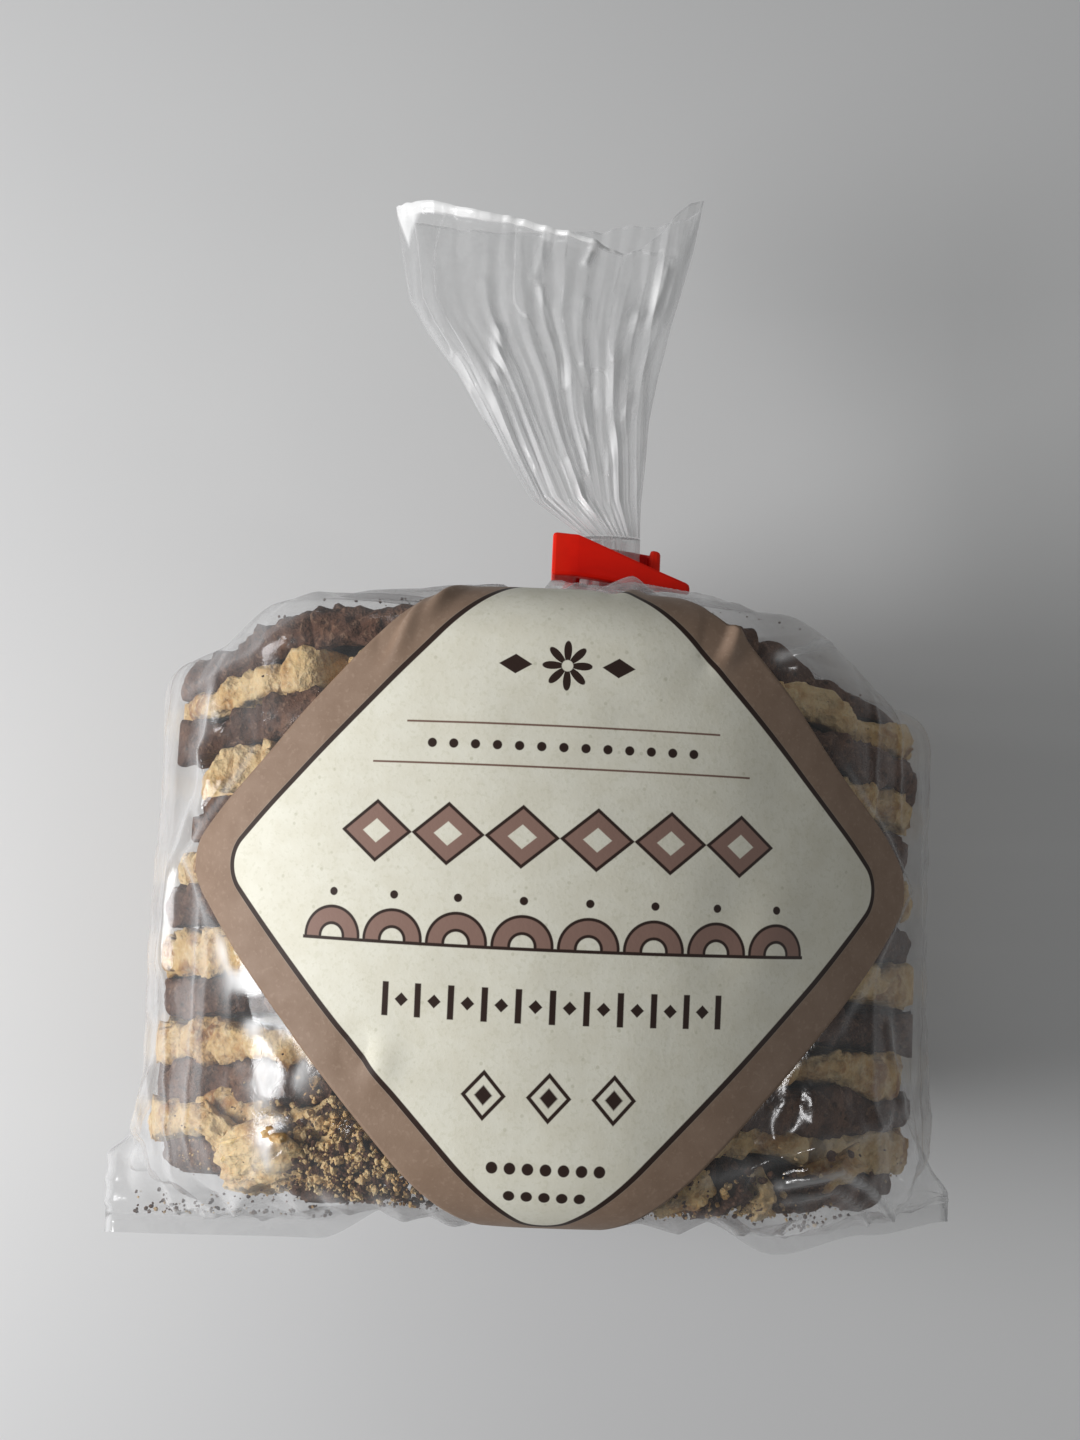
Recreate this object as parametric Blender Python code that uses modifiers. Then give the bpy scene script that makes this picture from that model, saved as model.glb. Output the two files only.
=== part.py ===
"""A clear side-gusset bag of stacked pizzelle, lying on its back with its label up.

The wafers stand on edge in one row along Y, so the filled bag is a rounded block. Its lower end
closes in a flat heat seal with an ear at each side. Its upper end is gathered into a neck, which a
moulded clip holds shut, and the spare film fans out beyond the clip as a pleated mouth.

Frame: +Z up, +Y from the seal to the mouth, +X to the right of the upright label. The origin is the
middle of the flat spot that the bag rests on. Lengths are in metres.
"""

import math

import bmesh
import bpy
from mathutils import Vector

# Stack of wafers inside the film, whose lower end leans out below the label
WAFER_COUNT = 13
STACK_FROM_Y = -0.0425
STACK_TO_Y = 0.0415
WAFER_PITCH = (STACK_TO_Y - STACK_FROM_Y) / WAFER_COUNT
LEAN = 0.0075
LEAN_DEPTH = 0.065

# Cross-section of the filled bag: a wide arc under the label, tighter shoulders, a round belly
TOP_Z = 0.1294
TOP_RADIUS = 0.083
TOP_ANGLE = math.radians(28)
SIDE_RADIUS = 0.0495
HALF_WIDTH = TOP_RADIUS * math.sin(TOP_ANGLE) + SIDE_RADIUS * (1 - math.sin(TOP_ANGLE))
WIDEST_Z = TOP_Z - TOP_RADIUS * (1 - math.cos(TOP_ANGLE)) - SIDE_RADIUS * math.cos(TOP_ANGLE)
TOP_ARC = TOP_RADIUS * TOP_ANGLE
HALF_ARC = TOP_ARC + SIDE_RADIUS * (math.pi / 2 - TOP_ANGLE)
BELLY_POWER = 2.2
BELLY_DIP = 0.0008
CENTRE_Z = TOP_Z / 2
ARC_STEPS = 30
BELLY_STEPS = 26

# Corners of the upper end, drawn down towards the middle of the bag
SHOULDER_DROP_LEFT = 0.0055
SHOULDER_DROP_RIGHT = 0.0095
SHOULDER_FROM_X = 0.032
SHOULDER_TO_X = 0.055
SHOULDER_FROM_Y = 0.010

# Film pulled over the wafer edges
RIPPLE = 0.0010
RIPPLE_FROM = 2
RIPPLE_TO = 11
FLAT_HALF = 0.012

# Bend of the film over each end of the stack: where it starts, its radius and how steep it gets
UPPER_BEND = (0.0348, 0.008, math.radians(84))
LOWER_BEND = (-0.0322, 0.010, math.radians(75))
BEND_STEPS = 5

# Gathered neck, and the pleats that run into it
NECK = Vector((0.0094, 0.0526, 0.074))
NECK_END_Y = 0.0613
NECK_HALF = (0.0051, 0.0021)
NECK_STEPS = 6
GATHER_POWER = 1.15
PLEATS = 13
PLEAT_DEPTH = 0.0020

# Heat seal across the lower end, with its two ears
SEAL_LINE = (
    (-0.074, -0.0590),
    (-0.036, -0.0584),
    (-0.022, -0.0522),
    (0.027, -0.0506),
    (0.043, -0.0576),
    (0.059, -0.0536),
    (0.074, -0.0506),
)
SEAL_Z = 0.064
SEAL_FIN = 0.003
SEAL_HALF_THICKNESS = 0.0006
SEAL_PINCH = 0.004
SEAL_STEPS = 5
EAR_HALF_WIDTH = 0.0735
EAR_HALF_HEIGHT = 0.024
EAR_FROM_Y = -0.011
EAR_FULL_Y = -0.039

# Spare film beyond the clip
MOUTH_START_Y = NECK_END_Y + 0.0003
MOUTH_END = Vector((-0.0048, 0.127, 0.057))
MOUTH_HALF = (0.0288, 0.0125)
MOUTH_SPREAD_POWER = 0.65
MOUTH_BOW = 0.0035
MOUTH_SLANT = 0.0075
MOUTH_DISH = 0.005
MOUTH_PLEATS = 9
MOUTH_PLEAT_SHARE = 0.2
MOUTH_RING = 6 * MOUTH_PLEATS
MOUTH_STEPS = 11

# Diamond label, a square turned by 45 degrees with rounded corners
LABEL_SIDE = 0.082
LABEL_CORNER = 0.009
LABEL_AT = (0.0015, 0.0055)
LABEL_THICKNESS = 0.0002
LABEL_GAP = 0.0004
LABEL_ROWS = 38
LABEL_COLUMNS = 14

# Clip: two arms joined by a block on the left, closed round the neck
CLIP_LEFT_X = -0.0006
CLIP_BLOCK = 0.0044
CLIP_NEAR_Y = 0.0536
CLIP_FAR_Y = 0.0610
CLIP_TAPER_FROM = 0.0062
CLIP_TIP_NEAR_Y = 0.0514
CLIP_TIP_FAR_Y = 0.0532
CLIP_GAP_HALF = 0.0024
CLIP_ARM = 0.003
CLIP_BACK_SLANT = 0.35
CLIP_FRONT_LENGTH = 0.0236
CLIP_BACK_LENGTH = 0.0186
CLIP_LATCH = 0.0018
CLIP_LATCH_GAP = 0.0004
CLIP_BEVEL = 0.0006

FILM_COLOUR = (0.86, 0.88, 0.88, 1.0)
LABEL_COLOUR = (0.80, 0.78, 0.70, 1.0)
CLIP_COLOUR = (0.80, 0.02, 0.01, 1.0)


def smooth_step(value, low, high):
    """0 below low, 1 above high, and an even ramp between."""
    t = min(1.0, max(0.0, (value - low) / (high - low)))
    return t * t * (3 - 2 * t)


def top_arc(s):
    """Point and outward normal, as (x, z), at arc length s to the right of the top's middle."""
    side = math.copysign(1.0, s)
    if abs(s) <= TOP_ARC:
        angle = abs(s) / TOP_RADIUS
        x = TOP_RADIUS * math.sin(angle)
        z = TOP_Z - TOP_RADIUS * (1 - math.cos(angle))
    else:
        angle = TOP_ANGLE + (abs(s) - TOP_ARC) / SIDE_RADIUS
        x = HALF_WIDTH - SIDE_RADIUS * (1 - math.sin(angle))
        z = WIDEST_Z + SIDE_RADIUS * math.cos(angle)
    return (side * x, z), (side * math.sin(angle), math.cos(angle))


def belly(t):
    """Point and outward normal, as (x, z), for t from 0 at the left side to 1 at the right."""
    angle = math.pi * (1 + t)
    depth = WIDEST_Z + BELLY_DIP
    x = HALF_WIDTH * math.copysign(abs(math.cos(angle)) ** (2 / BELLY_POWER), math.cos(angle))
    z = WIDEST_Z - depth * abs(math.sin(angle)) ** (2 / BELLY_POWER)
    out = Vector((x, z - CENTRE_Z)).normalized()
    return (x, z), (out.x, out.y)


def section():
    """The bag's section as (point, normal, arc length over the top or None), from the right side over
    the top and back under the belly."""
    ring = []
    for i in range(ARC_STEPS):
        s = HALF_ARC * (1 - 2 * i / ARC_STEPS)
        ring.append((*top_arc(s), s))
    for i in range(BELLY_STEPS):
        ring.append((*belly(i / BELLY_STEPS), None))
    return ring


def off_label(s, y):
    """0 under the label and 1 well clear of it."""
    if s is None:
        return 1.0
    distance = (abs(s - LABEL_AT[0]) + abs(y - LABEL_AT[1])) / math.sqrt(2) - LABEL_SIDE / 2
    return smooth_step(distance, 0.001, 0.006)


def settled(p):
    """The point as the filled bag slumps along -Y: the lower end leans out, most at half height and
    below, and the upper end's corners drop."""
    share = smooth_step(-p.y, 0.0, -LOWER_BEND[0])
    drop = SHOULDER_DROP_LEFT if p.x < 0 else SHOULDER_DROP_RIGHT
    drop *= smooth_step(abs(p.x), SHOULDER_FROM_X, SHOULDER_TO_X)
    drop *= smooth_step(p.y, SHOULDER_FROM_Y, UPPER_BEND[0])
    p.y -= LEAN * share * smooth_step(TOP_Z - p.z, 0.0, LEAN_DEPTH) + drop
    return p


def with_ear(x, y, z):
    """x of a point, drawn out to the ear that runs into each end of the seal."""
    ridge = max(0.0, 1 - abs(z - SEAL_Z) / EAR_HALF_HEIGHT) ** 2
    share = ridge * smooth_step(-y, -EAR_FROM_Y, -EAR_FULL_Y)
    return x + (math.copysign(EAR_HALF_WIDTH, x) - x) * share


def inset_ring(y, inset, rippled=False):
    """The section at y, moved inwards by inset and, where rippled, drawn in between the wafers."""
    ring = []
    for (x, z), (nx, nz), s in section():
        depth = inset
        if rippled:
            wave = (1 + math.cos(2 * math.pi * (y - STACK_FROM_Y) / WAFER_PITCH)) / 2
            clear = off_label(s, y) * smooth_step(abs(x) + z, FLAT_HALF, 3 * FLAT_HALF)
            depth += RIPPLE * wave * clear
        z = max(0.0, z - nz * depth)
        ring.append(settled(Vector((with_ear(x - nx * depth, y, z), y, z))))
    return ring


def bend_rings(bend):
    """Rings round a bend, from the long side to the end face."""
    start, radius, slope = bend
    rings = []
    for i in range(BEND_STEPS + 1):
        angle = slope * i / BEND_STEPS
        y = start + math.copysign(radius * math.sin(angle), start)
        rings.append(inset_ring(y, radius * (1 - math.cos(angle))))
    return rings


def neck_point(angle, y):
    """Point on the gathered neck's oval at y."""
    x = NECK.x + NECK_HALF[0] * math.cos(angle)
    return Vector((x, y, NECK.z + NECK_HALF[1] * math.sin(angle)))


def around(p):
    """Angle of a point round the middle of the bag, seen along Y."""
    return math.atan2(p.z - CENTRE_Z, p.x)


def gathered(rim, share):
    """Point a share of the way from the rim of the upper end to the neck."""
    p = rim.lerp(neck_point(around(rim), NECK.y), share)
    p.y = rim.y + (NECK.y - rim.y) * share**GATHER_POWER
    return p


def neck_rings(rim):
    """Rings from the rim of the upper end into the neck, with radial pleats, and along the neck."""
    rings = []
    for i in range(1, NECK_STEPS + 1):
        share = i / NECK_STEPS
        depth = PLEAT_DEPTH * smooth_step(share, 0.25, 0.6) * smooth_step(1 - share, 0.0, 0.4)
        ring = [gathered(p, share) for p in rim]
        for p, r in zip(ring, rim):
            p.y += depth * math.cos(PLEATS * around(r))
        rings.append(ring)
    rings.append([neck_point(around(p), NECK_END_Y) for p in rim])
    return rings


def seal_line(x):
    """y of the seal at x: it hangs at the left, rises in the middle and dips once at the right."""
    y = SEAL_LINE[0][1]
    for (x0, y0), (x1, y1) in zip(SEAL_LINE, SEAL_LINE[1:]):
        y += (y1 - y0) * smooth_step(x, x0, x1)
    return y


def seal_point(p, thickness, fin):
    """Where a rim point lies on the flat seal."""
    side = max(-1.0, min(1.0, (p.z - SEAL_Z) / SEAL_PINCH))
    return Vector((p.x, seal_line(p.x) - fin, SEAL_Z + side * thickness))


def seal_rings(rim):
    """Rings from the rim of the lower end down to the seal and over its fin."""
    rings = []
    for i in range(1, SEAL_STEPS + 1):
        share = i / SEAL_STEPS
        rings.append([p.lerp(seal_point(p, SEAL_HALF_THICKNESS, 0.0), share) for p in rim])
    rings.append([seal_point(p, SEAL_HALF_THICKNESS, SEAL_FIN) for p in rim])
    return rings


def loft(name, rings, dish=0.0):
    """A closed mesh through rings of equal length that run along +Y, each capped from its middle."""
    bm = bmesh.new()
    rows = [[bm.verts.new(p) for p in ring] for ring in rings]
    count = len(rows[0])
    for low, high in zip(rows, rows[1:]):
        for i in range(count):
            j = (i + 1) % count
            bm.faces.new((low[i], high[i], high[j], low[j]))
    for row, sink in ((rows[0], 0.0), (rows[-1], dish)):
        middle = sum((v.co for v in row), Vector()) / count
        middle.y -= sink
        hub = bm.verts.new(middle)
        for i in range(count):
            j = (i + 1) % count
            bm.faces.new((row[i], row[j], hub) if row is rows[0] else (row[j], row[i], hub))
    mesh = bpy.data.meshes.new(name)
    bm.to_mesh(mesh)
    bm.free()
    return mesh


def bag_body():
    """The film round the wafers, from the seal's fin to the end of the gathered neck."""
    lower = bend_rings(LOWER_BEND)
    upper = bend_rings(UPPER_BEND)
    middle = []
    for i in range(round(2 * RIPPLE_FROM), round(2 * RIPPLE_TO) + 1):
        y = STACK_FROM_Y + i * WAFER_PITCH / 2
        middle.append(inset_ring(y, 0.0, rippled=True))
    rings = list(reversed(seal_rings(lower[-1]))) + list(reversed(lower)) + middle + upper
    return loft("bag_body", rings + neck_rings(upper[-1]))


def bag_mouth():
    """The spare film past the clip: a slanted, pleated fan, wider than it is high."""
    rings = []
    for i in range(MOUTH_STEPS + 1):
        share = i / MOUTH_STEPS
        centre = Vector((NECK.x, MOUTH_START_Y, NECK.z)).lerp(MOUTH_END, share)
        centre.x -= MOUTH_BOW * math.sin(math.pi * share)
        half_x = NECK_HALF[0] + (MOUTH_HALF[0] - NECK_HALF[0]) * share**MOUTH_SPREAD_POWER
        half_z = NECK_HALF[1] + (MOUTH_HALF[1] - NECK_HALF[1]) * share**0.9
        ring = []
        for j in range(MOUTH_RING):
            angle = 2 * math.pi * j / MOUTH_RING
            fold = 1 + MOUTH_PLEAT_SHARE * share**0.5 * (math.cos(MOUTH_PLEATS * angle) - 0.5)
            x = centre.x + half_x * fold * math.cos(angle)
            z = centre.z + half_z * fold * math.sin(angle)
            ring.append(Vector((x, centre.y - MOUTH_SLANT * share**2 * math.sin(angle), z)))
        rings.append(ring)
    return loft("bag_mouth", rings, MOUTH_DISH)


def label_half_width(v):
    """Half the width of the rounded diamond at height v from its middle."""
    reach = LABEL_SIDE / math.sqrt(2)
    centre = reach - LABEL_CORNER * math.sqrt(2)
    turn = LABEL_CORNER / math.sqrt(2)
    if abs(v) < turn:
        return centre + math.sqrt(LABEL_CORNER**2 - v**2)
    if abs(v) > reach - turn:
        return math.sqrt(max(0.0, LABEL_CORNER**2 - (abs(v) - centre) ** 2))
    return reach - abs(v)


def along_top(s, m):
    """Point and normal on the film at arc length s across and m along the top, measured from y = 0."""
    (x, z), (nx, nz) = top_arc(s)
    start, radius, slope = UPPER_BEND if m > 0 else LOWER_BEND
    outward = math.copysign(1.0, start)
    past = abs(m) - abs(start)
    if past <= 0:
        return settled(Vector((x, m, z))), Vector((nx, 0, nz))
    bend = min(past / radius, slope)
    inset = radius * (1 - math.cos(bend))
    y = start + outward * radius * math.sin(bend)
    point = settled(Vector((x - nx * inset, y, z - nz * inset)))
    rest = past - radius * slope
    if rest > 0:
        foot = gathered(point, 1.0) if outward > 0 else seal_point(point, SEAL_HALF_THICKNESS, 0.0)
        share = rest / (foot - point).length
        point = gathered(point, share) if outward > 0 else point.lerp(foot, share)
    cos, sin = math.cos(bend), math.sin(bend)
    return point, Vector((nx * cos, outward * sin, nz * cos))


def label():
    """The diamond label, which follows the film and folds over both ends of the stack."""
    reach = LABEL_SIDE / math.sqrt(2) - LABEL_CORNER * (math.sqrt(2) - 1)
    bm = bmesh.new()
    rows = []
    for i in range(LABEL_ROWS + 1):
        v = -reach * math.cos(math.pi * (0.02 + 0.96 * i / LABEL_ROWS)) / math.cos(math.pi * 0.02)
        v *= 1 - 1e-3
        half = label_half_width(v)
        row = []
        for j in range(LABEL_COLUMNS + 1):
            u = half * (2 * j / LABEL_COLUMNS - 1)
            point, normal = along_top(LABEL_AT[0] + u, LABEL_AT[1] + v)
            row.append(bm.verts.new(point + normal * LABEL_GAP))
        rows.append(row)
    for low, high in zip(rows, rows[1:]):
        for j in range(LABEL_COLUMNS):
            bm.faces.new((low[j], low[j + 1], high[j + 1], high[j]))
    mesh = bpy.data.meshes.new("label")
    bm.to_mesh(mesh)
    bm.free()
    return mesh


def clip():
    """The clip as one moulding: a U seen along Y, with a latch that closes its open end."""
    gap, arm = CLIP_GAP_HALF, CLIP_ARM
    latch = CLIP_BACK_LENGTH - CLIP_LATCH
    outline = [
        (0.0, -gap - arm),
        (CLIP_BACK_LENGTH, -gap - arm),
        (CLIP_BACK_LENGTH, gap - CLIP_LATCH_GAP),
        (latch, gap - CLIP_LATCH_GAP),
        (latch, -gap),
        (CLIP_BLOCK, -gap),
        (CLIP_BLOCK, gap),
        (CLIP_FRONT_LENGTH, gap),
        (CLIP_FRONT_LENGTH, gap + arm * 0.6),
        (CLIP_BLOCK, gap + arm),
        (0.0, gap + arm),
    ]
    bm = bmesh.new()
    near = [bm.verts.new((CLIP_LEFT_X + x, CLIP_NEAR_Y, NECK.z + z)) for x, z in outline]
    face = bm.faces.new(near)
    grown = bmesh.ops.extrude_face_region(bm, geom=[face])
    far = [v for v in grown["geom"] if isinstance(v, bmesh.types.BMVert)]
    for v in far:
        v.co.y = CLIP_FAR_Y
    for v in bm.verts:
        reach = v.co.x - CLIP_LEFT_X - CLIP_TAPER_FROM
        share = max(0.0, reach / (CLIP_FRONT_LENGTH - CLIP_TAPER_FROM))
        front = v.co.z > NECK.z + gap - CLIP_LATCH_GAP / 2
        tip = CLIP_TIP_FAR_Y if v.co.y > CLIP_NEAR_Y else CLIP_TIP_NEAR_Y
        v.co.y += (tip - v.co.y) * share * (1.0 if front else CLIP_BACK_SLANT)
    bmesh.ops.recalc_face_normals(bm, faces=bm.faces)
    mesh = bpy.data.meshes.new("clip")
    bm.to_mesh(mesh)
    bm.free()
    return mesh


def material(name, colour, roughness, transmission=0.0):
    """A Principled material with one colour."""
    mat = bpy.data.materials.new(name)
    mat.use_nodes = True
    shader = mat.node_tree.nodes["Principled BSDF"]
    shader.inputs["Base Color"].default_value = colour
    shader.inputs["Roughness"].default_value = roughness
    shader.inputs["Metallic"].default_value = 0.0
    shader.inputs["Transmission Weight"].default_value = transmission
    return mat


def place(mesh, mat, collection):
    """An object for a mesh, smooth-shaded, with its material."""
    mesh.materials.append(mat)
    mesh.shade_smooth()
    mesh.set_sharp_from_angle(angle=math.radians(50))
    obj = bpy.data.objects.new(mesh.name, mesh)
    collection.objects.link(obj)
    return obj


def main():
    for obj in list(bpy.data.objects):
        bpy.data.objects.remove(obj)
    parts = bpy.data.collections.new("pizzelle_bag")
    bpy.context.scene.collection.children.link(parts)
    film = material("clear_film", FILM_COLOUR, 0.1, transmission=0.9)
    place(bag_body(), film, parts)
    place(bag_mouth(), film, parts)
    paper = place(label(), material("label_paper", LABEL_COLOUR, 0.6), parts)
    solid = paper.modifiers.new("thickness", "SOLIDIFY")
    solid.thickness = LABEL_THICKNESS
    solid.offset = 1.0
    red = place(clip(), material("clip_plastic", CLIP_COLOUR, 0.35), parts)
    edges = red.modifiers.new("edges", "BEVEL")
    edges.width = CLIP_BEVEL
    edges.segments = 2


if __name__ == "__main__":
    main()
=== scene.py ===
"""Looks of a clear bag of stacked pizzelle that lies on its back with its label up.

Each operator makes one piece, or one group of like pieces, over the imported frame. Lengths are in
metres, +Z is up, +Y runs from the seal to the mouth and +X is to the right of the upright label.
"""

import functools
import itertools
import math

import bpy
import numpy as np
from mathutils import Matrix, Vector
from mathutils.bvhtree import BVHTree


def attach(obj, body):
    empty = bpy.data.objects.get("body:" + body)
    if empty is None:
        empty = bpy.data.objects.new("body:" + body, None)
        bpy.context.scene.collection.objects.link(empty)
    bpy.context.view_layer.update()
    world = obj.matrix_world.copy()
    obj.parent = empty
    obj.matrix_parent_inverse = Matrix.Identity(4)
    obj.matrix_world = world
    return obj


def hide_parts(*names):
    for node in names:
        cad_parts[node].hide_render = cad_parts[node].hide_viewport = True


bl_info = {
    "name": "Pizzelle Bag",
    "version": (1, 0, 0),
    "blender": (4, 5, 0),
    "location": "3D View > Sidebar > Pizzelle Bag",
    "description": "Builds a clear bag of stacked pizzelle with a diamond label and a clip",
    "category": "Add Mesh",
}

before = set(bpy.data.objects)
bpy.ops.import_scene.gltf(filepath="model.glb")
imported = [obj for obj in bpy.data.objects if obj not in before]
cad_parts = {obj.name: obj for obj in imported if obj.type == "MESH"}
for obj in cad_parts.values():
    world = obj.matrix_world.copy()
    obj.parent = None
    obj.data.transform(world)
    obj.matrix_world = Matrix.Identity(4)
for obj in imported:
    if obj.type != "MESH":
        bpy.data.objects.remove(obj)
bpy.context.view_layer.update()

# The bag's own surface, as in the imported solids, but with ears that start nearer to the seal. A bend
# is its start along Y, its radius and how far it turns
STACK_FROM_Y = -0.0425
STACK_TO_Y = 0.0415
LEAN = 0.0075
LEAN_DEPTH = 0.065
TOP_Z = 0.1294
TOP_RADIUS = 0.083
TOP_ANGLE = math.radians(28)
SIDE_RADIUS = 0.0495
HALF_WIDTH = TOP_RADIUS * math.sin(TOP_ANGLE) + SIDE_RADIUS * (1 - math.sin(TOP_ANGLE))
WIDEST_Z = TOP_Z - TOP_RADIUS * (1 - math.cos(TOP_ANGLE)) - SIDE_RADIUS * math.cos(TOP_ANGLE)
TOP_ARC = TOP_RADIUS * TOP_ANGLE
HALF_ARC = TOP_ARC + SIDE_RADIUS * (math.pi / 2 - TOP_ANGLE)
BELLY_POWER = 2.2
BELLY_DIP = 0.0008
CENTRE_Z = TOP_Z / 2
SHOULDER_DROP_LEFT = 0.0055
SHOULDER_DROP_RIGHT = 0.0095
SHOULDER_FROM_X = 0.032
SHOULDER_TO_X = 0.055
SHOULDER_FROM_Y = 0.010
UPPER_BEND = (0.0348, 0.008, math.radians(84))
LOWER_BEND = (-0.0322, 0.010, math.radians(75))
NECK = np.array((0.0094, 0.0526, 0.074))
NECK_END_Y = 0.0613
NECK_HALF = (0.0051, 0.0021)
GATHER_POWER = 1.15
SEAL_LINE = ((-0.074, -0.0590), (-0.036, -0.0584), (-0.022, -0.0522), (0.027, -0.0506),
             (0.043, -0.0576), (0.059, -0.0536), (0.074, -0.0506))
SEAL_Z = 0.064
SEAL_FIN = 0.003
SEAL_PINCH = 0.004
EAR_HALF_WIDTH = 0.0735
EAR_HALF_HEIGHT = 0.024
EAR_FROM_Y = -0.021
EAR_FULL_Y = -0.043
MOUTH_START_Y = NECK_END_Y + 0.0003
MOUTH_END = np.array((-0.0048, 0.127, 0.057))
MOUTH_HALF_Z = 0.0125

# How far the film is drawn in at the bag's sides, and where the folds on its top fade out
SIDE_INSET = 0.0022
SIDE_FROM_X = 0.035
SIDE_TO_X = 0.056
INSET_MARGIN = 1.45
FOLD_FROM_Z = 0.060
FOLD_TO_Z = 0.075

# Film: steps of its grid, and lengths along it from the rims to the seal and to the neck
FILM_TOP_STEPS = 330
FILM_BELLY_STEPS = 150
FILM_ROW = 0.0006
SEAL_HALF_THICKNESS = 0.00012
SEAL_REACH = 0.016
NECK_REACH = 0.05
LOWER_ARC = LOWER_BEND[1] * LOWER_BEND[2]
UPPER_ARC = UPPER_BEND[1] * UPPER_BEND[2]
LOWER_RIM = LOWER_BEND[0] - LOWER_ARC
UPPER_RIM = UPPER_BEND[0] + UPPER_ARC
SEAL_M = LOWER_RIM - SEAL_REACH
NECK_M = UPPER_RIM + NECK_REACH
MOUTH_ROWS = 190
MOUTH_COLUMNS = 620

# Folds of the film as seen from above: height, half width, whiteness from 0 to 1, which is a painted
# highlight along the fold, and the x and y of points on the fold, with all lengths in millimetres
FOLDS = (
    (1.4, 2.2, 0.16, (-49, 27), (-51, 14), (-55.5, 2), (-56.5, -12)),
    (0.9, 1.1, 0.1, (-50, 19.5), (-48.5, 15), (-50, 10.5)),
    (0.8, 1.8, 0.12, (-59, 23), (-60.5, 0), (-60, -20)),
    (0.3, 5.8, 0.5, (-42, -8.5), (-38.5, -16), (-33, -23.5)),
    (0.3, 4, 0.36, (-39, -21.5), (-35.5, -26.5), (-34.5, -35)),
    (1.6, 1.3, 0.16, (-69, -58), (-47, -52), (-38, -40), (-31.7, -33.5)),
    (1.2, 1.6, 0.12, (-58, -28), (-65, -44), (-69, -57)),
    (1.2, 1.4, 0.12, (23, -34.5), (32, -31.8), (41, -30), (52, -29)),
    (1.1, 0.8, 0.62, (33, -35.2), (42.5, -34.6), (48, -38), (62, -52)),
    (0.7, 0.6, 0.35, (34.5, -37.5), (42, -37.2), (47, -41), (54, -49)),
    (1.3, 1.6, 0.1, (25, -39), (33, -45), (40, -56)),
    (1.1, 1.6, 0.1, (57, 20), (60, -10), (64, -40)),
    (0.8, 0.9, 0.22, (52, -16), (55.5, -27), (61, -38)),
    (1.3, 1.2, 0.45, (31, 35), (34.5, 36.2), (39, 37.8)),
    (0.6, 1.6, 0.08, (-33, 39), (-42, 33), (-54, 29)),
)

# Mouth: shares of the way from the neck to the open end, with the x of its left and right sides
MOUTH_SIDES = ((0.0, 0.0043, 0.0145), (0.10, -0.0048, 0.0146), (0.33, -0.0142, 0.0156),
               (0.48, -0.0200, 0.0172), (0.62, -0.0270, 0.0192), (0.70, -0.0302, 0.0206),
               (1.0, -0.0343, 0.0256))
# Streaks where its pleats are pressed sharp, given like the folds, each white with a painted highlight
MOUTH_STREAKS = (
    (0.8, 2.6, 0.5, (17.2, 112.5), (15, 105), (13.6, 103)),
    (0.8, 1.7, 0.3, (13.6, 103), (10, 93.5), (7.8, 86)),
    (1, 0.9, 0.26, (25, 129.5), (16.5, 100), (10.5, 83)),
    (0.8, 1, 0.16, (19, 115), (12, 90)),
    (0.6, 1.1, 0.42, (-5, 107), (-1.5, 96.5), (0.5, 89)),
    (0.6, 1.3, 0.46, (-3, 121), (-4.2, 116), (-6, 109)),
    (0.6, 0.9, 0.4, (6, 119), (3, 113)),
    (0.8, 1.7, 0.42, (-11.5, 99), (-12, 89)),
    (0.6, 1.2, 0.2, (-15, 108), (-11, 93), (-4, 78)),
    (0.6, 1.4, 0.34, (-19, 94), (-13, 86), (-7, 77)),
    (0.6, 1, 0.24, (-10, 86), (-4, 74)),
    (0.8, 1.3, 0.5, (1.2, 74), (6.2, 65)),
    (0.6, 1.5, 0.4, (11, 84), (8.5, 73.5)),
    (0.6, 1.1, 0.34, (5, 88), (4.5, 73)),
    (0.6, 1.3, 0.2, (3.5, 105), (4, 93)),
    (0.5, 1.2, 0.3, (-24.5, 97.5), (-17, 89)),
)

# Label
LABEL_SIDE = 0.0813
LABEL_CORNER = 0.0062
LABEL_AT = (0.0022, 0.0037)
LABEL_THICKNESS = 0.0002
LABEL_GAP = 0.0004
LABEL_STEPS = 220
PRINT_SPAN = 0.13
# Its small folds: u, v, half length and half width in millimetres, and height in metres
LABEL_FOLDS = ((-22.0, 34.5, 5.0, 1.6, 0.0019), (-18.5, 37.5, 4.0, 1.5, 0.0013),
               (9.0, 45.0, 4.0, 2.0, 0.0011), (22.0, 34.5, 4.0, 1.8, 0.0017),
               (-24.0, -24.5, 3.0, 3.0, 0.0007), (26.0, -6.0, 9.0, 5.0, 0.0003))

# Wafers: the row fans out below the label and sags towards the seal
WAFER_COUNT = 13
WAFER_PITCH = (STACK_TO_Y - STACK_FROM_Y) / WAFER_COUNT
WAFER_CENTRE_Z = 0.0645
WAFER_RADIUS = 0.0645
WAFER_FAN = 0.096
WAFER_SAG = 0.0054
WAFER_SAG_DEPTH = 0.055
WAFER_CORE = 0.0017
WAFER_BULK = 0.0052
WAFER_EDGE = 0.0023
WAFER_HALF = 0.0024
WAFER_HALF_RANGE = (0.0012, 0.0033)
WAFER_RIM_STEPS = 17
WAFER_RINGS = 9
WAFER_RING_CROWDING = 1.8
FILM_GAP = 0.0007
FLOOR_GAP = 0.0004
CRUMB_FLOOR_GAP = 0.0003

# The pattern pressed into its faces: flutes and leaves all round, and how many radians the waves of
# its net run through in a wafer's radius
FLUTES = 52
LEAVES = 8
NET_RADIANS = 34

# Chips out of a wafer's rim: how many, their half width in radians and their depth
CHIPS = ((11, (0.03, 0.15), (0.0010, 0.0040)), (34, (0.015, 0.045), (0.0008, 0.0024)))

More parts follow.
